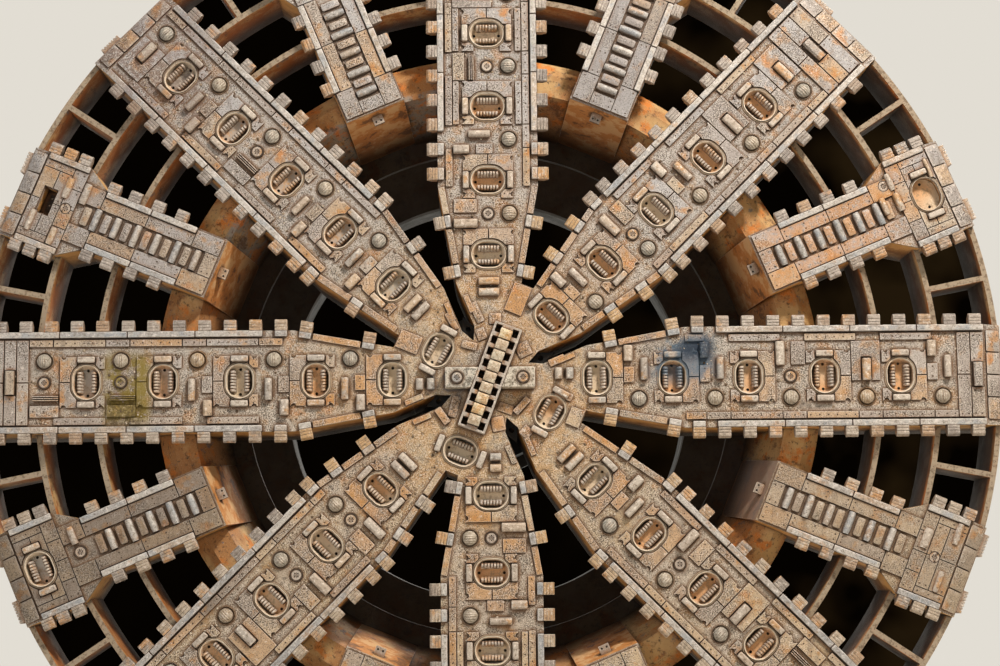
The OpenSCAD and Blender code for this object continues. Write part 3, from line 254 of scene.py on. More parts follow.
def newFinish(name, ground, patterns, layers, roughness, metallic, bumps):
    material = bpy.data.materials.new(name)
    material.use_nodes = True
    tree = material.node_tree
    shader = tree.nodes["Principled BSDF"]
    where = addNode(tree, "TexCoord")["Object"]
    x, y, z = addNode(tree, "SeparateXYZ", {0: where})
    trueNormal = addNode(tree, "NewGeometry")["True Normal"]
    flat = addNode(tree, "VectorMath", {0: where, 1: (1, 0, 1)}, operation="MULTIPLY")[0]
    outward = addNode(tree, "VectorMath", {0: flat}, operation="NORMALIZE")[0]
    # The bevel normal parts from the true normal on edges and makes the edge pattern, pale as wear and as
    # painted highlight
    rounded = addNode(tree, "Bevel", {"Radius": grimeShadeAndHighlight["wearReach"]}, samples=grimeShadeAndHighlight["edgeSamples"])[0]
    looksOut, facing, alike = [
        addNode(tree, "VectorMath", {0: trueNormal, 1: way}, operation="DOT_PRODUCT")["Value"]
        for way in (outward, (0, -1, 0), rounded)]
    # Ambient occlusion, closed in corners, makes the corner pattern, which paints shade there as well as dirt
    openness = addNode(tree, "AmbientOcclusion", {"Distance": grimeShadeAndHighlight["dirtAndShadeReach"]},
                       samples=grimeShadeAndHighlight["cornerSamples"])["AO"]
    onEdge, clear = [
        addNode(tree, "MapRange", {"Value": value, "From Min": start, "From Max": end})[0]
        for value, (start, end) in ((alike, grimeShadeAndHighlight["edgeTurn"]), (openness, grimeShadeAndHighlight["clearOfDirtAndShade"]))]
    values = {
        "x": x, "z": z, "facing": facing,
        "height": addNode(tree, "Math", {0: head["faceY"], 1: y}, operation="SUBTRACT")[0],
        "radius": addNode(tree, "VectorMath", {0: flat}, operation="LENGTH")["Value"],
        "inward": addNode(tree, "Math", {0: 0.0, 1: looksOut}, operation="SUBTRACT")[0],
        "dirtAndShade": addNode(tree, "Math", {0: 1.0, 1: openness}, operation="SUBTRACT")[0],
        "wear": addNode(tree, "Math", {0: onEdge, 1: clear}, operation="MULTIPLY")[0],
        "tint": addNode(tree, "Attribute", attribute_name="tint")["Fac"],
    }
    for label, (size, detail, rough, *stretch) in patterns.items():
        spot = addNode(tree, "Mapping", {"Vector": where, "Scale": stretch})[0] if stretch else where
        values[label] = addNode(tree, "TexNoise", {
            "Vector": spot, "Scale": 1000 / size, "Detail": detail, "Roughness": rough})[0]
    paint = colour(ground)
    for hexValue, most, *shownBy in layers:
        cover = most
        for label, start, end in shownBy:
            share = addNode(tree, "MapRange", {"Value": values[label], "From Min": start, "From Max": end},
                            interpolation_type="SMOOTHSTEP")[0]
            cover = addNode(tree, "Math", {0: share, 1: cover}, operation="MULTIPLY")[0]
        paint = addNode(tree, "Mix", {0: cover, 6: paint, 7: colour(hexValue)}, data_type="RGBA")[2]
    tree.links.new(paint, shader.inputs["Base Color"])
    label, smooth, rough = roughness
    start, end = grimeShadeAndHighlight["glossSpread"]
    gloss = addNode(tree, "MapRange", {"Value": values[label], "From Min": start, "From Max": end,
                                       "To Min": smooth, "To Max": rough})[0]
    tree.links.new(gloss, shader.inputs["Roughness"])
    shader.inputs["Metallic"].default_value = metallic
    normal = {}
    for label, depth in bumps:
        bump = addNode(tree, "Bump", {"Height": values[label], "Distance": depth, "Strength": 1.0, **normal})
        normal = {"Normal": bump[0]}
    tree.links.new(normal["Normal"], shader.inputs["Normal"])
    return material


# Regions of another cast, in order: orange plates on the upper right short spoke, darker ones on the
# lower left one, a greyer top right, and two duller short spokes, lower right and upper left
regions = [
    ("c38b52", 0.55, ("x", 4.3, 5.0), ("x", 7.5, 6.4), ("z", 0.9, 1.4), ("z", 4.0, 3.5),
                     ("coarse", 0.38, 0.52)),
    ("4a3e33", 0.5, ("x", -4.0, -4.8), ("z", -0.9, -1.4), ("z", -4.2, -3.6)),
    ("7d7876", 0.45, ("x", 1.0, 1.5), ("x", 3.9, 3.4), ("z", 4.3, 4.7)),
    ("84745f", 0.35, ("x", 4.0, 4.8), ("z", -0.9, -1.4), ("z", -4.2, -3.6)),
    ("857464", 0.25, ("x", -4.0, -4.8), ("z", 0.9, 1.4), ("z", 4.2, 3.6)),
]
# Stains at fixed places: a yellow-green spill on the left spoke with a dark edge below, old blue paint
# with a darker core on the right one and beside the centre, and a redder end on the upper left one
stains = [
    ("7f6c14", 0.85, ("x", -6.55, -6.35), ("x", -5.6, -5.8), ("z", -0.8, -0.55), ("z", 0.62, 0.3),
                     ("patch", 0.34, 0.46), ("coarse", 0.34, 0.48)),
    ("4a3a20", 0.7, ("x", -6.5, -6.3), ("x", -5.75, -5.9), ("z", -0.85, -0.7), ("z", -0.2, -0.4),
                    ("coarse", 0.44, 0.54)),
    ("41637a", 0.75, ("x", 2.5, 2.9), ("x", 3.95, 3.6), ("z", -0.3, 0.1), ("z", 0.84, 0.6),
                     ("patch", 0.38, 0.50)),
    ("1b2a3c", 0.85, ("x", 3.0, 3.35), ("x", 3.85, 3.65), ("z", 0.2, 0.38), ("z", 0.68, 0.56),
                     ("coarse", 0.36, 0.46)),
    ("5b6f7d", 0.45, ("x", -1.15, -0.85), ("x", -0.35, -0.55), ("z", -0.6, -0.3), ("z", 0.5, 0.3),
                     ("patch", 0.42, 0.52)),
    ("6a4c3c", 0.55, ("x", -4.3, -5.0), ("z", 3.9, 4.7), ("coarse", 0.42, 0.56)),
]
# The upper half and the rim have lost their tan to a lilac grey
greyed = [("z", -4.0, 2.5), ("radius", 1.0, 4.5)]
boxFront = [
    ("aca9a4", 0.95, *greyed),
    ("b3a89c", 0.7, ("broad", 0.44, 0.56)),
    ("c39a66", 0.75, ("radius", 3.6, 1.2), ("patch", 0.40, 0.54)),
    ("b08650", 0.6, ("patch", 0.54, 0.61)),
    ("c67f3c", 0.5, ("patch", 0.60, 0.68)),
    ("74675a", 0.6, ("patch", 0.46, 0.36)),
    ("55493c", 0.6, ("coarse", 0.47, 0.39)),
    ("3a3128", 0.75, ("fine", 0.47, 0.39)),
    ("2d261f", 0.8, ("fine", 0.49, 0.42), ("zone", 0.42, 0.54), ("radius", 1.2, 3.0)),
    ("e6dccd", 0.8, ("fine", 0.52, 0.59), ("zone", 0.30, 0.46)),
    ("c9c8c9", 0.7, ("fine", 0.53, 0.60), ("z", -1.5, 3.0)),
]
# Side walls of the boxes: tan at the face, rust brown lower, near black deep down, where the fall into dark
# is painted shade; faces looking forward 0.2 to 0.28 m down are painted dark as shade too
sideWall = [("facing", 0.6, 0.3), ("facing", -0.6, -0.3)]
boxWalls = [
    ("d4a35c", 0.95, ("height", -0.03, -0.1), *sideWall),
    ("8f6230", 0.8, ("height", -0.1, -0.8), *sideWall, ("patch", 0.44, 0.56)),
    ("1d150e", 0.95, ("height", -0.5, -1.5), *sideWall),
    ("241a10", 0.9, ("height", -0.2, -0.28), ("facing", 0.6, 0.8)),
]
innerEnd = [("radius", 5.08, 5.02), ("height", -0.02, -0.06)]
slopedEnds = [
    ("c98747", 0.95, *innerEnd),
    ("dcb482", 0.9, *innerEnd, ("patch", 0.49, 0.58)),
    ("5f3d24", 0.8, *innerEnd, ("patch", 0.46, 0.38)),
    ("8d8078", 0.8, *innerEnd, ("x", 3.5, 4.2), ("z", -0.9, -1.4)),
    # Near black far below the face: painted shade
    ("2a1c12", 0.85, ("radius", 5.08, 5.02), ("height", -0.8, -2.0)),
]
# The floors and walls of the ports, above the dark of their drilled holes: greyed and orange steel, on a pale
# ground that is painted light lifting the shade in the ports
inPort = [("height", -0.01, -0.03), ("height", -0.17, -0.16), ("facing", 0.5, 0.8), ("radius", 8.35, 8.33)]
portSteel = [
    ("e6d2b4", 0.95, *inPort),
    ("dea873", 0.85, *inPort, ("broad", 0.45, 0.52)),
    ("b4b2ac", 0.85, *inPort, ("x", -4.8, -5.6), ("broad", 0.62, 0.5)),
    ("b3aea5", 0.8, *inPort, ("x", -0.5, -1.8), ("z", 0.5, 1.5), ("coarse", 0.40, 0.5)),
    ("a58c6f", 0.6, *inPort, ("coarse", 0.47, 0.39)),
]
# Brown to near black in corners and joints, as dirt and painted shade; pale on edges, as wear and painted
# highlight; then the port steel
boxEdges = [("7d5a3b", 0.8, ("dirtAndShade", 0.04, 0.2)), ("2a2017", 0.92, ("dirtAndShade", 0.22, 0.5)),
            ("ddd3c5", 0.6, ("wear", 0.0, 1.0))] + portSteel
ringFront = [("facing", 0.8, 0.95), ("height", -0.4, -0.3), ("radius", 6.0, 6.3)]
# In every finish the layers on the corner pattern paint shade as well as dirt in corners, joints and grooves,
# and those on the edge pattern paint highlights as well as wear on edges
finishes = {
    # Welded boxes of structural steel under sprayed mud that dried to a speckled, pitted crust:
    # pale crumbs and dark pits side by side, tan towards the centre, greyer outside
    "face_steel": newFinish(
        "muddyBoxSteel", "bda684", boxZones,
        boxFront + regions + boxWalls + boxEdges + stains,
        ("patch", 0.7, 0.9), 0.0, [("coarse", 0.020), ("fine", 0.012)]),
    # The same on the short boxes, whose sloped inner ends are orange and tan with bare rust, and near black
    # deep down as painted shade
    "shortBox": newFinish(
        "muddyBoxSteelRustedEnd", "bda684", boxZones,
        boxFront + regions + boxWalls + slopedEnds + boxEdges,
        ("patch", 0.7, 0.9), 0.0, [("coarse", 0.020), ("fine", 0.012)]),
    # Bolted wear plates of rolled hard steel: a lilac grey skin, another shade on each plate,
    # orange rust coming through, rubbed edges with painted highlight, and brown joints with painted shade in
    # them
    "plate": newFinish(
        "rolledWearPlate", "c2ab8c",
        {**boxZones, "fine": (20, 3, 0.7), "streak": (330, 5, 0.65, 3.0, 3.0, 0.8)},
        [("acaaaa", 0.95, *greyed),
         ("9f948b", 0.7, ("tint", 0.30, 0.55)), ("c6b08f", 0.6, ("tint", 0.65, 0.80)),
         ("bd8f5e", 0.5, ("tint", 0.86, 0.97)),
         ("c6935a", 0.8, ("radius", 6.0, 1.5), ("z", 3.5, 0.5), ("tint", 0.25, 0.45)),
         ("bb8a52", 0.6, ("radius", 5.0, 1.5), ("broad", 0.46, 0.56)),
         ("b98648", 0.7, ("patch", 0.54, 0.62)), ("c8803d", 0.6, ("patch", 0.61, 0.69)),
         ("72655a", 0.4, ("streak", 0.52, 0.64)), ("5f5042", 0.5, ("coarse", 0.44, 0.36)),
         ("e2d8cc", 0.75, ("coarse", 0.56, 0.66)), ("3f3429", 0.8, ("fine", 0.47, 0.39)),
         ("7d7063", 0.6, ("zone", 0.50, 0.58), ("coarse", 0.40, 0.55)),
         ("2f271f", 0.8, ("fine", 0.49, 0.43), ("zone", 0.46, 0.56)),
         ("dbd4cb", 0.75, ("fine", 0.54, 0.61), ("zone", 0.42, 0.54)),
         ("8a5f3a", 0.8, ("dirtAndShade", 0.03, 0.18)), ("2a2017", 0.92, ("dirtAndShade", 0.22, 0.5)),
         ("ded6cb", 0.65, ("wear", 0.0, 1.0))] + stains + regions,
        ("coarse", 0.55, 0.8), 0.1, [("coarse", 0.007), ("fine", 0.004)]),
    # Cast and ground tool steel on everything that cuts: rubbed pale on top, brown with painted shade in the
    # grooves, and dark brown below the port floors, which is painted shade
    "tool_steel": newFinish(
        "groundToolSteel", "c2b7a9", {**boxGrain, **groundGrain},
        [("a9a198", 0.85, ("tint", 0.30, 0.60)),
         ("c9ac8a", 0.75, ("tint", 0.70, 0.85)), ("8f9ba1", 0.6, ("tint", 0.90, 0.97)),
         ("b0a192", 0.7, ("broad", 0.46, 0.58)), ("bd8a4c", 0.75, ("patch", 0.54, 0.63)),
         ("6b5843", 0.7, ("coarse", 0.45, 0.36)), ("e6ddd0", 0.8, ("coarse", 0.55, 0.64)),
         ("4a3c2c", 0.6, ("fine", 0.43, 0.35)), ("6b4c2e", 0.9, ("height", -0.16, -0.3)),
         ("8f6238", 0.6, ("dirtAndShade", 0.06, 0.25)), ("2d2217", 0.9, ("dirtAndShade", 0.3, 0.65)),
         ("e3dbce", 0.65, ("wear", 0.0, 1.0))] + stains,
        ("coarse", 0.45, 0.72), 0.2, [("coarse", 0.012), ("fine", 0.005)]),
    # Cast domes, darker and greener than the rest, with pale worn crowns, and rust with painted shade between
    # the ribs
    "castDome": newFinish(
        "castDomeSteel", "a79c88", castGrain,
        [("8d8f88", 0.85, ("tint", 0.35, 0.6)), ("b9935f", 0.7, ("tint", 0.75, 0.9)),
         ("d9cfbf", 0.8, ("height", 0.085, 0.112), ("coarse", 0.42, 0.54)),
         ("5b4a37", 0.7, ("coarse", 0.46, 0.37)), ("3d3125", 0.8, ("fine", 0.46, 0.38)),
         ("7b5735", 0.7, ("dirtAndShade", 0.06, 0.3)), ("261d15", 0.9, ("dirtAndShade", 0.3, 0.6)),
         ("e9e0d2", 0.6, ("wear", 0.0, 1.0))],
        ("coarse", 0.45, 0.72), 0.2, [("coarse", 0.010), ("fine", 0.005)]),
    # Hard-faced rails and row bars: beads of weld ground off to a pale, speckled, bluish grey
    "hardFacing": newFinish(
        "hardFacedRail", "bab3aa", {**castGrain, "patch": patchSize},
        [("9c9a98", 0.8, ("tint", 0.35, 0.65)),
         ("c2ab92", 0.6, ("tint", 0.78, 0.9)), ("b58d65", 0.6, ("patch", 0.56, 0.65)),
         ("7f7468", 0.7, ("coarse", 0.46, 0.37)), ("d6d0c9", 0.8, ("coarse", 0.53, 0.62)),
         ("8d97a0", 0.5, ("patch", 0.46, 0.38)), ("4d443a", 0.7, ("fine", 0.46, 0.38)),
         ("6f5136", 0.8, ("dirtAndShade", 0.08, 0.3)), ("241c15", 0.9, ("dirtAndShade", 0.35, 0.7)),
         ("e2dfda", 0.7, ("wear", 0.0, 1.0))] + stains,
        ("coarse", 0.4, 0.68), 0.25, [("coarse", 0.009), ("fine", 0.005)]),
    # Scraper blocks of cast steel, dull and sandy, paler where they are rubbed, with sides painted brown low
    # down as shade
    "castScraper": newFinish(
        "castScraperSteel", "b09f8a", {**boxGrain, **castGrain, "fine": (18, 3, 0.7)},
        [("a09892", 0.8, *greyed),
         ("88807a", 0.8, ("tint", 0.35, 0.6)), ("b08b63", 0.7, ("tint", 0.75, 0.9)),
         ("c29a62", 0.8, ("radius", 5.0, 2.5), ("broad", 0.42, 0.54)),
         ("bf8a4e", 0.7, ("patch", 0.53, 0.62)), ("d3c9bc", 0.7, ("coarse", 0.54, 0.63)),
         ("6a5a48", 0.7, ("coarse", 0.46, 0.37)), ("463a2c", 0.6, ("fine", 0.44, 0.36)),
         ("7a5c3b", 0.7, ("facing", 0.7, 0.3), ("height", 0.02, -0.1)),
         ("2d2217", 0.9, ("dirtAndShade", 0.3, 0.65)),
         ("d9cfc2", 0.6, ("wear", 0.0, 1.0))] + stains,
        ("coarse", 0.5, 0.75), 0.15, [("coarse", 0.010), ("fine", 0.005)]),
    # Painted structural plate, rusted through: pale dusty front edges, orange to tan just inside,
    # dark brown to near black low down and deep in the ring, which is painted shade, with flakes of blue
    # paint left and purple-brown runs
    "deep_steel": newFinish(
        "rustedPaintedPlate", "ad7b48",
        {**boxGrain, "broad": (1500, 5, 0.6), "streak": (420, 6, 0.7, 1.6, 0.5, 1.6)},
        [("c9a873", 0.9, ("broad", 0.47, 0.58)),
         ("8d908d", 0.85, ("x", 1.5, -0.5), ("z", 1.0, 2.5), ("radius", 4.62, 4.72), ("radius", 5.2, 5.15),
                          ("patch", 0.40, 0.50)),
         ("d07c2e", 0.85, ("patch", 0.52, 0.62)), ("5e3c28", 0.75, ("streak", 0.54, 0.64)),
         ("56646f", 0.7, ("streak", 0.40, 0.33)), ("3a2a1d", 0.7, ("coarse", 0.44, 0.36)),
         ("cdb894", 0.5, ("fine", 0.56, 0.64)),
         ("9d907c", 0.9, *ringFront),
         ("6d5a45", 0.8, *ringFront, ("coarse", 0.50, 0.42)),
         ("a0622c", 0.85, ("height", -0.33, -0.4), ("radius", 6.0, 6.3), ("inward", 0.2, 0.6),
                          ("patch", 0.42, 0.54)),
         # Dark brown to near black deep in the ring, more on its right, and near black on side walls far
         # down: painted shade
         ("2f1d0f", 0.95, ("height", -0.5, -1.2), ("radius", 6.0, 6.3), ("inward", -0.5, 0.0)),
         ("1e160d", 0.85, ("radius", 6.0, 6.3), ("inward", -0.5, 0.0), ("height", -0.3, -0.5),
                          ("x", 2.0, 4.0)),
         ("100b07", 0.97, ("height", -1.1, -2.1), ("inward", -0.5, 0.0), ("facing", -0.6, -0.3)),
         ("1f150d", 0.9, ("dirtAndShade", 0.15, 0.6)),
         ("b7a084", 0.55, ("wear", 0.0, 1.0), ("height", -1.6, -1.0))],
        ("patch", 0.65, 0.88), 0.0, [("patch", 0.02), ("fine", 0.008)]),
    # Machined bearing steel under blue-grey paint, dulled by grease and dust, painted near black as shade
    # where it faces forward and at the rear edge of its bore
    "bearing_steel": newFinish(
        "bluePaintedBearing", "51616d", boxGrain,
        [("414c55", 0.8, ("broad", 0.42, 0.58)),
         ("7a7263", 0.7, ("patch", 0.53, 0.64)), ("6b4d33", 0.6, ("coarse", 0.58, 0.66)),
         ("231c16", 0.9, ("dirtAndShade", 0.15, 0.6)), ("9aa4aa", 0.6, ("wear", 0.0, 1.0)),
         ("0d0b09", 0.96, ("facing", 0.4, 0.8)),
         ("0d0b09", 0.95, ("inward", 0.3, 0.7), ("height", -4.76, -4.6))],
        ("patch", 0.4, 0.65), 0.1, [("fine", 0.004)]),
    # Plug welds and rings, dark with oil and rust
    "darkWeld": newFinish(
        "oiledWeldMetal", "3a2c20", {"fine": fineCrust, "coarse": coarseCrust},
        [("5d4936", 0.8, ("coarse", 0.48, 0.6)), ("1b140e", 0.8, ("dirtAndShade", 0.2, 0.7))],
        ("coarse", 0.5, 0.7), 0.2, [("fine", 0.004)]),
    # Blue paint under soot and grease, deep in the slots, painted near black as the shade there, so that only
    # flakes of blue show
    "sootAndShadePaint": newFinish(
        "shadedSootedBluePaint", "0b0a09", {"coarse": coarseCrust, "patch": patchSize},
        [("16212b", 0.6, ("patch", 0.56, 0.62)), ("241a0c", 0.6, ("coarse", 0.55, 0.65))],
        ("coarse", 0.92, 1.0), 0.0, [("coarse", 0.004)]),
    # Cutter blocks of the centre, gold and cream with heat tint and fresh rust
    "heatTinted": newFinish(
        "heatTintedCutterSteel", "d3bd96", {**groundGrain, "patch": (260, 5, 0.65)},
        [("c18b3f", 0.85, ("patch", 0.47, 0.56)), ("a9a79e", 0.6, ("tint", 0.55, 0.7)),
         ("8a6a3c", 0.7, ("coarse", 0.46, 0.38)), ("e8dcc6", 0.7, ("coarse", 0.54, 0.62)),
         ("3f2d17", 0.7, ("fine", 0.44, 0.37)), ("5d4120", 0.8, ("dirtAndShade", 0.06, 0.35)),
         ("eadfcb", 0.6, ("wear", 0.0, 1.0))],
        ("coarse", 0.45, 0.7), 0.2, [("coarse", 0.009), ("fine", 0.005)]),
    # Weld beads round the ports, rubbed to cream on top, rusty brown with painted shade in the groove beside
    # them
    "rimBead": newFinish(
        "rubbedWeldBead", "c9bba6", boxGrain,
        [("b3ada6", 0.7, *greyed),
         ("c09463", 0.75, ("patch", 0.50, 0.60)), ("7d654b", 0.85, ("height", 0.022, 0.016)),
         ("b09a80", 0.85, ("height", 0.019, 0.0165), ("height", 0.010, 0.013), ("facing", 0.6, 0.9)),
         ("7c6a55", 0.7, ("coarse", 0.46, 0.37)), ("dccfbb", 0.7, ("height", 0.027, 0.032)),
         ("3f3123", 0.8, ("dirtAndShade", 0.25, 0.6))] + stains,
        ("coarse", 0.5, 0.75), 0.15, [("coarse", 0.006), ("fine", 0.003)]),
    # Weld fillets inside the ports, rubbed by the cutters' chips: grey tan and orange, pale as painted light
    # in the shaded ports
    "portWeld": newFinish(
        "rubbedWeldFillet", "e2d0b6", boxGrain,
        [("d6a474", 0.8, ("broad", 0.45, 0.52), ("height", 0.02, -0.02)),
         ("a48c70", 0.6, ("coarse", 0.47, 0.38)), ("f4ecdf", 0.7, ("fine", 0.53, 0.6)),
         ("7b6043", 0.5, ("dirtAndShade", 0.5, 0.95))],
        ("coarse", 0.5, 0.75), 0.1, [("fine", 0.004)]),
    # Crumbs of dried mud, from chalky grey to damp brown
    "driedMud": newFinish(
        "driedMudCrumbs", "cbbda8", {"fine": fineCrust, "coarse": coarseCrust},
        [("8c7a61", 0.9, ("tint", 0.35, 0.6)), ("5a4936", 0.9, ("tint", 0.7, 0.85)),
         ("3b2f22", 0.8, ("dirtAndShade", 0.2, 0.7))],
        ("coarse", 0.8, 0.95), 0.0, [("fine", 0.004)]),
}
for name, node in nodes.items():
    for slot in node.material_slots:
        slot.material = finishes["shortBox" if name.startswith("short_spoke") else slotOf[name]]
print("finishes made and put on the frame")


# A node's points, each once, and its triangles, without those that have no area
def mergedMesh(name):
    mesh = nodes[name].data
    points = np.zeros(len(mesh.vertices) * 3)
    mesh.vertices.foreach_get("co", points)
    points = points.reshape(-1, 3)
    corners = np.zeros(len(mesh.loops), int)
    mesh.loops.foreach_get("vertex_index", corners)
    first, back = np.unique(np.round(points, 4), axis=0, return_index=True, return_inverse=True)[1:]
    triangles = back.ravel()[corners].reshape(-1, 3)
    whole = (triangles != np.roll(triangles, 1, axis=1)).all(axis=1)
    return points[first], triangles[whole]


# Every vertex takes the least number among its neighbours until none changes: one number an island
def islandsOf(count, triangles):
    label = np.arange(count)
    edges = np.concatenate([triangles[:, [0, 1]], triangles[:, [1, 2]], triangles[:, [2, 0]]])
    while True:
        least = label.copy()
        np.minimum.at(least, edges[:, 0], label[edges[:, 1]])
        np.minimum.at(least, edges[:, 1], label[edges[:, 0]])
        least = least[least]
        if (least == label).all():
            return np.unique(label, return_inverse=True)[1].ravel()
        label = least


# For each island: its spoke's angle, its lowest and highest corner (along, across, above), and the
# share of that box's outline that its front covers
def boxesOnSpokes(name, angles):
    points, triangles = mergedMesh(name)
    island = islandsOf(len(points), triangles)
    count = island.max() + 1
    middle = np.zeros((count, 3))
    np.add.at(middle, island, points)
    bearing = np.degrees(np.arctan2(middle[:, 2], middle[:, 0]))
    off = np.abs((bearing[:, None] - angles[None, :] + 180) % 360 - 180)
    spoke = angles[off.argmin(axis=1)]
    turn = np.radians(spoke[island])
    local = np.stack([points[:, 0] * np.cos(turn) + points[:, 2] * np.sin(turn),
                      points[:, 2] * np.cos(turn) - points[:, 0] * np.sin(turn),
                      head["faceY"] - points[:, 1]], axis=1)
    low = np.full((count, 3), np.inf)
    high = np.full((count, 3), -np.inf)
    np.minimum.at(low, island, local)
    np.maximum.at(high, island, local)
    corner = local[triangles]
    front = np.cross(corner[:, 1] - corner[:, 0], corner[:, 2] - corner[:, 0])[:, 2] / 2
    area = np.zeros(count)
    np.add.at(area, island[triangles[:, 0]], np.abs(front) / 2)
    size = high - low
    return spoke, low, high, area / (size[:, 0] * size[:, 1])


# How meshes are cleaned and smoothed: metres, then degrees
smoothing = {"mergeWithin": 0.0002, "flatWithin": 1, "bevelFrom": 35, "segments": 2,
             "sharpCopy": 40, "sharpSurface": 50}


# Triangles in one plane become one face
def flattened(mesh):
    bmesh.ops.dissolve_limit(mesh, angle_limit=math.radians(smoothing["flatWithin"]),
                             verts=mesh.verts, edges=mesh.edges)


# Seams and poles become single points, and all faces look outwards
def closedUp(mesh):
    bmesh.ops.remove_doubles(mesh, verts=mesh.verts, dist=smoothing["mergeWithin"])
    bmesh.ops.recalc_face_normals(mesh, faces=mesh.faces)


# A piece that turns with the head, from points that each have a shade, and faces
def addPiece(name, points, faces, shades, clean, sharpFrom, finishName):
    mesh = bpy.data.meshes.new(name)
    mesh.from_pydata(points.tolist(), [], faces.tolist())
    mesh.attributes.new("tint", "FLOAT", "POINT").data.foreach_set("value", shades.astype(np.float32))
    whole = bmesh.new()
    whole.from_mesh(mesh)
    clean(whole)
    whole.to_mesh(mesh)
    whole.free()
    mesh.materials.append(finishes[finishName])
    mesh.shade_smooth()
    mesh.set_sharp_from_angle(angle=math.radians(sharpFrom))
    piece = bpy.data.objects.new(name, mesh)
    scene.collection.objects.link(piece)
    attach(piece, "cutterhead")
    return piece


# Worn copies of the frame's rigid trims: finish, width of the rounding in metres, nodes
trims = [
    ("plate", 0.007, ["corner_plates", "edge_strips", "gap_plates", "rim_end_plates", "short_face_plates",
                      "centre_plates"]),
    ("castDome", 0.02, ["centre_arms"]),
    ("hardFacing", 0.016, ["main_rails", "short_rails"]),
    ("castScraper", 0.008, ["main_scrapers", "short_scrapers"]),
    ("tool_steel", 0.022, ["port_side_blocks"]),
    ("tool_steel", 0.018, ["wear_bars"]),
    ("tool_steel", 0.004, ["plugs"]),
    ("tool_steel", 0.008, ["gauge_blocks"]),
    ("tool_steel", 0.012, ["centre_frame"]),
    ("sootAndShadePaint", 0.008, ["slot_lugs"]),
    ("tool_steel", 0.008, ["end_brackets"]),
]


# A node's own shape with bevelled edges, and a shade of its own on each island
def roundedCopy(name, finishName, width):
    points, triangles = mergedMesh(name)
    island = islandsOf(len(points), triangles)
    shades = np.random.default_rng(len(points)).random(island.max() + 1)[island]
    piece = addPiece(name + "_worn", points, triangles, shades, flattened, smoothing["sharpCopy"],
                     finishName)
    bevel = piece.modifiers.new("rounding", "BEVEL")
    bevel.width = width
    bevel.segments = smoothing["segments"]
    bevel.limit_method = "ANGLE"
    bevel.angle_limit = math.radians(smoothing["bevelFrom"])
    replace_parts(piece, name)


for finishName, width, names in trims:
    for name in names:
        roundedCopy(name, finishName, width)
print("trims rounded")


# Many equal grids of points in one mesh, each closed round in its second direction
def addSurfaces(name, points, finishName):
    count, rows, columns = points.shape[:3]
    number = np.arange(count * rows * columns).reshape(count, rows, columns)
    onward = np.roll(number, -1, axis=2)
    quads = np.stack([number[:, :-1], onward[:, :-1], onward[:, 1:], number[:, 1:]], axis=-1).reshape(-1, 4)
    shades = np.repeat(np.random.default_rng(count).random(count), rows * columns)
    return addPiece(name, points.reshape(-1, 3), quads, shades, closedUp, smoothing["sharpSurface"],
                    finishName)


# Equal steps round a circle, the last one short of the first
def wayRound(sides):
    return np.linspace(0, 2 * np.pi, sides, endpoint=False)


# A profile of (radius, height) turned about the middle of each place: angle, along, across, height
def turned(places, profile, sides):
    angle, along, across, foot = np.asarray(places, float).T[:, :, None, None]
    radius, height = np.asarray(profile, float).T[:, :, None]
    around = wayRound(sides)
    return onSpoke(angle, along + radius * np.cos(around), across + radius * np.sin(around),
                   foot + height + 0 * around)


# Profile of a small dot: flat out to a share of its radius, then sloping down to its foot
def dot(radius, height, foot, flat=0.7):
    return [(0, height), (radius * flat, height), (radius, -foot), (0, -foot)]


# Ribbed domes: a crown that falls with the square of the radius, cut by parallel grooves, in a
# shallow dished ring
domes = {"radius": 0.118, "height": 0.12, "crown": 0.066, "crownRows": 11, "crownShare": 0.96,
         "edgeDrop": 0.012, "gap": 0.012, "gapHeight": 0.004, "ribPitch": 0.040, "ribDepth": 0.014,
         "ringRadius": 0.158, "ringHeight": 0.024, "ringEdge": 0.010, "sides": 48, "leastHeight": 0.1}
spoke, low, high = boxesOnSpokes("wear_domes", head["mainAngles"])[:3]
tall = high[:, 2] > domes["leastHeight"]
places = np.column_stack([spoke, (low + high)[:, :2] / 2, 0 * spoke])[tall]
reachOut = domes["radius"] * np.append(np.linspace(0, domes["crownShare"], domes["crownRows"]), [1.0, 1.0])
rise = domes["height"] - domes["crown"] * (reachOut / domes["radius"]) ** 2
rise[-2:] = [rise[-2] - domes["edgeDrop"], domes["gapHeight"]]
ring = [(domes["radius"] + domes["gap"], domes["gapHeight"]),
        (domes["ringRadius"] - domes["ringEdge"], domes["ringHeight"]),
        (domes["ringRadius"], -head["sunk"]), (0, -head["sunk"])]
profile = np.concatenate([np.column_stack([reachOut, rise]), ring])
points = turned(places, profile, domes["sides"])
offMiddle = profile[:, :1] * np.cos(wayRound(domes["sides"]))
ribs = 0.5 - 0.5 * np.cos(2 * np.pi * offMiddle / domes["ribPitch"])
points[..., 1] += domes["ribDepth"] * ribs * (np.arange(len(profile)) < domes["crownRows"])[:, None]
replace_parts(addSurfaces("ribbed_domes", points, "castDome"), "wear_domes")

# Loaf bars: a flattened arch from side to side, carried along the bar and drawn in a little at the
# grooves between its ridges and at its two ends
loaves = {"cutterRidges": 7, "rowsPerRidge": 6, "groove": 0.17, "grooveShare": 0.20, "endNarrow": 0.86,
          "sides": 14, "sideCurve": 0.9, "topCurve": 0.8}


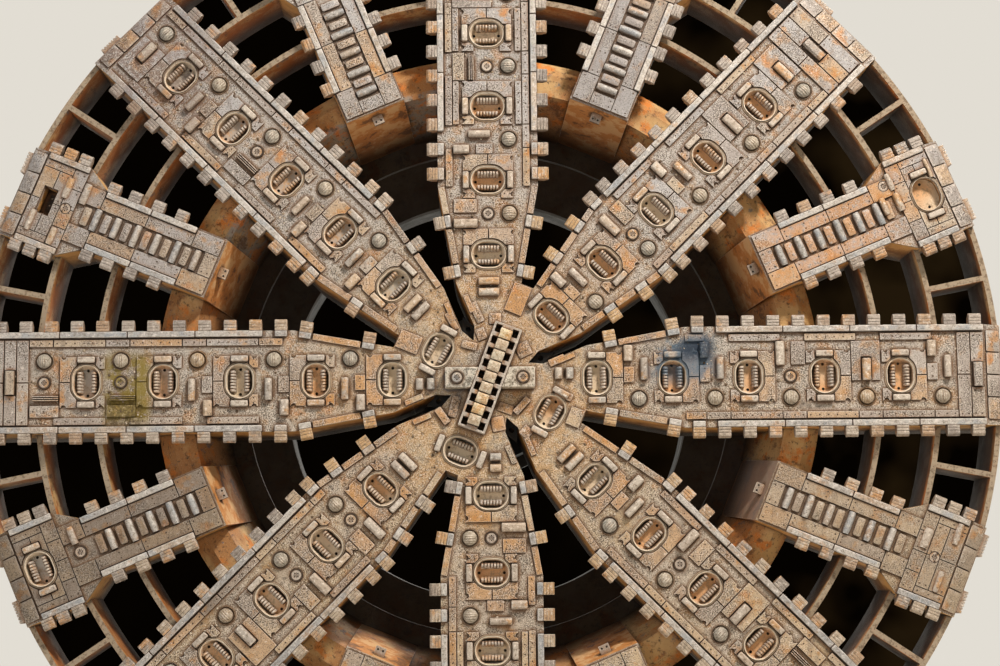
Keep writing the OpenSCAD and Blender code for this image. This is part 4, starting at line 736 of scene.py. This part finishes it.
def loafBars(name, spoke, low, high, ridges, finishName):
    sizes = (high - low)[:, :, None, None]
    middles = ((low + high) / 2)[:, :, None, None]
    down = np.linspace(-0.5, 0.5, max(ridges, 1) * loaves["rowsPerRidge"] + 1)
    phase = (down * ridges + ridges / 2) % 1
    toGroove = np.minimum(phase, 1 - phase) / loaves["grooveShare"] if ridges else 1 + 0 * down
    narrow = 1 - loaves["groove"] * np.clip(1 - toGroove, 0, 1)
    narrow[[0, -1]] = loaves["endNarrow"]
    down = np.concatenate([[-0.5], down, [0.5]])[:, None]
    narrow = np.concatenate([[0.0], narrow, [0.0]])[:, None]
    arch = np.linspace(0, np.pi, loaves["sides"])
    sideways = np.sign(np.cos(arch)) * np.abs(np.cos(arch)) ** loaves["sideCurve"]
    sideways = np.append(sideways, [-1.0, 1.0]) / 2
    upward = np.append(np.sin(arch) ** loaves["topCurve"], [0.0, 0.0])
    points = onSpoke(spoke[:, None, None], middles[:, 0] + sizes[:, 0] * sideways * narrow,
                     middles[:, 1] + sizes[:, 1] * down,
                     low[:, 2][:, None, None] + sizes[:, 2] * upward * narrow)
    return addSurfaces(name, points, finishName)


spoke, low, high = boxesOnSpokes("port_bars", everyAngle)[:3]
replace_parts(loafBars("loaf_bars", spoke, low, high, loaves["cutterRidges"], "tool_steel"), "port_bars")
print("cutter bars:", len(spoke))

# Port linings: a weld fillet that slopes from a port's edge to its floor, round an oval of half
# circles joined by straight sides that run across the spoke. A port's two bars give its middle
linings = {"endRadius": 0.2248, "halfStraight": 0.06, "depth": 0.15, "reach": 0.050, "sides": 48,
           # share of the reach towards the middle, and share of the depth below the face
           "profile": [(0.0, -0.15), (0.10, -0.15), (0.30, 0.15), (0.50, 0.6), (1.0, 0.99), (1.0, 1.02),
                       (0.0, 1.02), (0.0, -0.15)]}
order = np.lexsort([(low + high)[:, 0], spoke])
along, across = ((low + high) / 2)[order].reshape(-1, 2, 3).mean(axis=1).T[:2, :, None, None]
around = wayRound(linings["sides"])
inset, depth = np.array(linings["profile"]).T[:, :, None]
radius = linings["endRadius"] - linings["reach"] * inset
straight = linings["halfStraight"] * np.sign(np.sin(around))
fillets = onSpoke(spoke[order][::2, None, None], along + radius * np.cos(around),
                  across + radius * np.sin(around) + straight, -linings["depth"] * depth + 0 * around)
addSurfaces("port_linings", fillets, "portWeld")

# Port rims: a weld bead round the edge of each port's oval, and a low border outside it
rims = {"innerRadius": 0.2252, "sides": 56,
        # distance outside the edge of the port, and height above the face
        "profile": [(0.0, -0.002), (0.0, 0.024), (0.004, 0.031), (0.009, 0.033), (0.014, 0.030),
                    (0.017, 0.014), (0.020, 0.007), (0.024, 0.014), (0.036, 0.016), (0.041, 0.012),
                    (0.0415, -0.002), (0.0, -0.002)]}
spoke, low, high = boxesOnSpokes("port_collars", everyAngle)[:3]
along, across = ((low + high) / 2).T[:2, :, None, None]
length, width = (high - low).T[:2, :, None, None]
around = wayRound(rims["sides"])
outside, height = np.array(rims["profile"]).T[:, :, None]
radius = rims["innerRadius"] + outside
straight = (width - length) / 2 * np.sign(np.round(np.sin(around), 6))
points = onSpoke(spoke[:, None, None], along + radius * np.cos(around),
                 across + radius * np.sin(around) + straight, height + 0 * around)
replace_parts(addSurfaces("port_rims", points, "rimBead"), "port_collars")
print("port rims:", len(points))


# Slabs: plates with cut corners and a worn edge, from an angle, the middle along and across a spoke,
# length, width, the height of their underside, thickness and the slope of the ground they lie on
# The foot's share of the thickness lies in the ground, and the edge falls by a share of its width
slabShape = {"foot": 0.004, "edgeFall": 0.7}


def slabs(places, cut, worn):
    angle, along, across, length, width, under, thick, slope = np.asarray(places, float).T[:, :, None, None]
    # the eight corners: their side along and across, and where the cut takes its length off
    sideAlong, sideAcross, cutAlong, cutAcross = np.array([
        (1, 1, 0, 1), (1, 1, 1, 0), (-1, 1, 1, 0), (-1, 1, 0, 1),
        (-1, -1, 0, 1), (-1, -1, 1, 0), (1, -1, 1, 0), (1, -1, 0, 1)]).T
    # the rows: foot, top of the wall, top inside the worn edge, and middle, each with its share of the
    # thickness, how far it lies lower and further in than that, and its size
    share, lower, inset, size = np.array([
        (-slabShape["foot"], 0, 0, 1), (1, worn * slabShape["edgeFall"], 0, 1), (1, 0, worn, 1),
        (1, 0, 0, 0)]).T[:, :, None]
    x = sideAlong * (length / 2 - cut * cutAlong - inset) * size
    y = sideAcross * (width / 2 - cut * cutAcross - inset) * size
    return onSpoke(angle, along + x, across + y, under + share * thick - lower + slope * (along + x))


# Centre cutter blocks: worn slabs that nearly touch along their row, above the ladder's rungs
centreRow = {"angle": 69.5, "share": 0.9, "cut": 0.008, "worn": 0.016}
spoke, low, high = boxesOnSpokes("centre_cutters", np.array([centreRow["angle"]]))[:3]
middles, sizes = (low + high) / 2, high - low
pitch = np.diff(np.sort(middles[:, 0])).mean()
rows = np.column_stack([spoke, middles[:, :2], pitch * centreRow["share"] + 0 * spoke, sizes[:, 1], low[:, 2],
                        sizes[:, 2], 0 * spoke])
blocks = slabs(rows, centreRow["cut"], centreRow["worn"])
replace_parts(addSurfaces("centre_blocks", blocks, "heatTinted"), "centre_cutters")
print("centre cutter blocks:", len(rows), "pitch", round(pitch, 3))

# Row bars of the short spokes: tall pale loaves and low tan plates by turns
rowPlates = {"thick": 0.042, "cut": 0.02, "worn": 0.012}
spoke, low, high = boxesOnSpokes("short_row_bars", everyAngle)[:3]
order = np.lexsort([low[:, 0], spoke])
spoke, low, high = spoke[order], low[order], high[order]
tall = (np.arange(len(spoke)) - np.searchsorted(spoke, spoke)) % 2 == 0
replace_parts(loafBars("row_loaves", spoke[tall], low[tall], high[tall], 0, "hardFacing"), "short_row_bars")
rows = np.column_stack([spoke, (low + high)[:, :2] / 2, (high - low)[:, :2], 0 * spoke,
                        rowPlates["thick"] + 0 * spoke, 0 * spoke])[~tall]
addSurfaces("row_plates", slabs(rows, rowPlates["cut"], rowPlates["worn"]), "plate")
print("row bars:", len(spoke))

# More loaf bars on the heads of the short spokes, laid across them
headBars = {"under": -0.005, "top": 0.085, "places": [
    # angle, x, z, length, width
    (337.5, 7.78, -2.68, 0.36, 0.13), (337.5, 7.42, -3.46, 0.36, 0.12), (337.5, 7.25, -2.74, 0.34, 0.18),
    (157.5, -7.11, 3.31, 0.36, 0.14), (157.5, -6.81, 3.20, 0.36, 0.15), (157.5, -7.74, 2.78, 0.36, 0.12),
    (157.5, -7.38, 2.49, 0.30, 0.13), (22.5, 7.50, 3.54, 0.34, 0.08), (22.5, 6.99, 2.96, 0.32, 0.13),
    (22.5, 6.74, 2.88, 0.30, 0.13), (22.5, 6.84, 3.30, 0.30, 0.12), (202.5, -6.95, -2.55, 0.30, 0.13),
    (67.5, 3.02, 7.60, 0.34, 0.13), (112.5, -3.02, 7.60, 0.34, 0.13), (247.5, -3.02, -7.60, 0.34, 0.13),
    (292.5, 3.02, -7.60, 0.34, 0.13)]}


# How far along and across a spoke a place in the plane of the face lies
def alongAndAcross(angle, x, z):
    turn = np.radians(angle)
    return x * np.cos(turn) + z * np.sin(turn), z * np.cos(turn) - x * np.sin(turn)


spoke, x, z, length, width = np.array(headBars["places"]).T
along, across = alongAndAcross(spoke, x, z)
low = np.column_stack([along - width / 2, across - length / 2, headBars["under"] + 0 * x])
high = np.column_stack([along + width / 2, across + length / 2, headBars["top"] + 0 * x])
loafBars("head_bars", spoke, low, high, 0, "tool_steel")

# Plugs: a dark ring round each, and four small dark discs on its top, painted shade in place of holes
plugRings = {"inner": 0.080, "outer": 0.112, "height": 0.034, "sides": 32, "bevel": 0.3,
             "innerWall": 0.7, "outerWall": 0.6,
             "holeRadius": 0.017, "holeOff": 0.036, "holeSides": 10, "top": 0.0262}
spoke, low, high = boxesOnSpokes("plugs", bothAngles)[:3]
places = np.column_stack([spoke, (low + high)[:, :2] / 2, low[:, 2]])
inner, outer, tall = plugRings["inner"], plugRings["outer"], plugRings["height"]
bevel = (outer - inner) * plugRings["bevel"]
profile = [(inner, -head["sunk"]), (inner, tall * plugRings["innerWall"]), (inner + bevel, tall),
           (outer - bevel, tall), (outer, tall * plugRings["outerWall"]), (outer, -head["sunk"]),
           (inner, -head["sunk"])]
addSurfaces("plug_rings", turned(places, profile, plugRings["sides"]), "darkWeld")
holes = np.concatenate([
    places + [0, plugRings["holeOff"] * math.cos(a), plugRings["holeOff"] * math.sin(a), plugRings["top"]]
    for a in np.radians([0, 90, 180, 270])])
bore = dot(plugRings["holeRadius"], head["sunk"], head["sunk"])
addSurfaces("plug_holes", turned(holes, bore, plugRings["holeSides"]), "darkWeld")
print("domes and plugs made")

# More wear plates and bars round the centre cutter
centreExtras = {"cut": 0.010, "worn": 0.008, "places": [
    # x, z, length, width, turn in degrees, thickness
    (-0.14, 0.76, 0.16, 0.20, 20, 0.030), (-0.34, 0.57, 0.26, 0.13, -15, 0.034),
    (0.57, 0.49, 0.24, 0.24, 25, 0.028), (0.26, -0.50, 0.26, 0.15, -20, 0.024),
    (0.53, -0.46, 0.33, 0.11, 47, 0.07), (0.13, -0.76, 0.22, 0.24, 12, 0.028),
    (-0.60, -0.46, 0.36, 0.14, 75, 0.030), (-0.80, -0.62, 0.30, 0.12, -55, 0.07),
    (-0.21, 1.13, 0.36, 0.13, -66, 0.030), (-0.63, 0.98, 0.32, 0.11, -62, 0.030),
    (1.13, 0.30, 0.28, 0.12, 22, 0.030), (1.24, -0.28, 0.30, 0.13, -24, 0.030),
    (0.60, -0.90, 0.18, 0.18, -40, 0.030), (0.10, 1.02, 0.20, 0.18, 0, 0.030)]}
x, z, length, width, turn, thick = np.array(centreExtras["places"]).T
rows = np.column_stack([turn, *alongAndAcross(turn, x, z), length, width, 0 * x, thick, 0 * x])
extras = slabs(rows, centreExtras["cut"], centreExtras["worn"])
addSurfaces("centre_wear_plates", extras, "plate")

# Plates on the bevelled rim ends, in a row across each spoke
rimPlates = {"from": 8.385, "to": 8.635, "bevelFrom": 8.358, "slope": -0.14 / 0.3, "half": 0.76, "count": 4,
             "gap": 0.022, "thick": 0.034, "cut": 0.012, "worn": 0.006}
pitch = 2 * rimPlates["half"] / rimPlates["count"]
rows = [(angle, (rimPlates["from"] + rimPlates["to"]) / 2, -rimPlates["half"] + pitch * (i + 0.5),
         rimPlates["to"] - rimPlates["from"], pitch - rimPlates["gap"],
         -rimPlates["slope"] * rimPlates["bevelFrom"], rimPlates["thick"], rimPlates["slope"])
        for angle in bothAngles for i in range(rimPlates["count"])]
plates = slabs(rows, rimPlates["cut"], rimPlates["worn"])
addSurfaces("rim_bevel_plates", plates, "plate")

# Plug welds: dark dots in rows on strips, and in twos and fours on plates
welds = {"radius": 0.015, "height": 0.003, "foot": 0.001,
         "pitch": 0.15, "inset": 0.055, "sides": 8,
         "wide": 0.2,          # a side longer than this takes more than one dot
         # only on pieces that fill their outline, and are neither narrower nor taller than this
         "leastCover": 0.8, "leastWidth": 0.07, "mostHeight": 0.06,
         "on": {"edge_strips": "mainAngles", "corner_plates": "mainAngles", "gap_plates": "mainAngles",
                "rim_end_plates": "mainAngles", "short_face_plates": "shortAngles"}}


# Dots between two ends, an inset away from both, or one dot in the middle
def dotsBetween(first, last, count):
    if count == 1:
        return np.array([(first + last) / 2])
    return np.linspace(first + welds["inset"], last - welds["inset"], count)


rows = []
for name, angles in welds["on"].items():
    for angle, first, last, cover in zip(*boxesOnSpokes(name, head[angles])):
        length, width, top = last[0] - first[0], last[1] - first[1], last[2]
        narrow = min(length, width) < welds["leastWidth"]
        if cover < welds["leastCover"] or narrow or top > welds["mostHeight"]:
            continue
        room = length / welds["pitch"] / (1 if width < welds["wide"] else 2)
        alongs = dotsBetween(first[0], last[0], 1 if length < welds["wide"] else max(2, round(room)))
        acrosses = dotsBetween(first[1], last[1], 2 if width > welds["wide"] else 1)
        rows += [(angle, along, across, top) for along in alongs for across in acrosses]
weld = dot(welds["radius"], welds["height"], welds["foot"])
addSurfaces("plug_welds", turned(rows, weld, welds["sides"]), "darkWeld")
print("plug welds:", len(rows))

# Crumbs of dried mud stuck to the faces, low enough to vanish under the plates: six-sided lumps,
# each with its own outline, none over a port
crumbs = {"count": 5600, "least": 0.009, "most": 0.026, "flatness": 0.75, "portRadius": 0.35, "foot": 0.001,
          "from": 1.3, "length": 6.9, "crowding": 0.85,        # along the spoke, more of them near the rim
          "halfWidth": 0.73, "taper": 0.18, "taperTo": 3.29,   # a spoke narrows inside this radius
          "sides": 6, "outline": (0.75, 1.25), "fewLarge": 3}
dice = np.random.default_rng(11)
amount = crumbs["count"]
angle = dice.choice(head["mainAngles"], amount)
along = crumbs["from"] + crumbs["length"] * dice.random(amount) ** crumbs["crowding"]
limit = crumbs["halfWidth"] - crumbs["taper"] * np.maximum(0, crumbs["taperTo"] - along)
across = (2 * dice.random(amount) - 1) * limit
spoke, low, high = boxesOnSpokes("port_collars", head["mainAngles"])[:3]
ports = onSpoke(spoke, *((low + high) / 2).T[:2], 0)
apart = np.linalg.norm(onSpoke(angle, along, across, 0)[:, None] - ports[None], axis=2).min(axis=1)
keep = apart > crumbs["portRadius"]
angle, along, across = angle[keep, None, None], along[keep, None, None], across[keep, None, None]
size = dice.random((keep.sum(), 1, 1)) ** crumbs["fewLarge"]
size = crumbs["least"] + (crumbs["most"] - crumbs["least"]) * size
around = wayRound(crumbs["sides"])
spread, lift = np.array([(0.0, 0.0), (1.0, 0.0), (0.72, 0.72), (0.0, 1.0)]).T[:, :, None]
inmost, outmost = crumbs["outline"]
uneven = inmost + (outmost - inmost) * dice.random((keep.sum(), 1, crumbs["sides"]))
radius = size * spread * uneven
points = onSpoke(angle, along + radius * np.cos(around), across + radius * np.sin(around),
                 size * crumbs["flatness"] * lift - crumbs["foot"] + 0 * around)
addSurfaces("mud_crumbs", points, "driedMud")
print("crumbs scattered:", len(points))
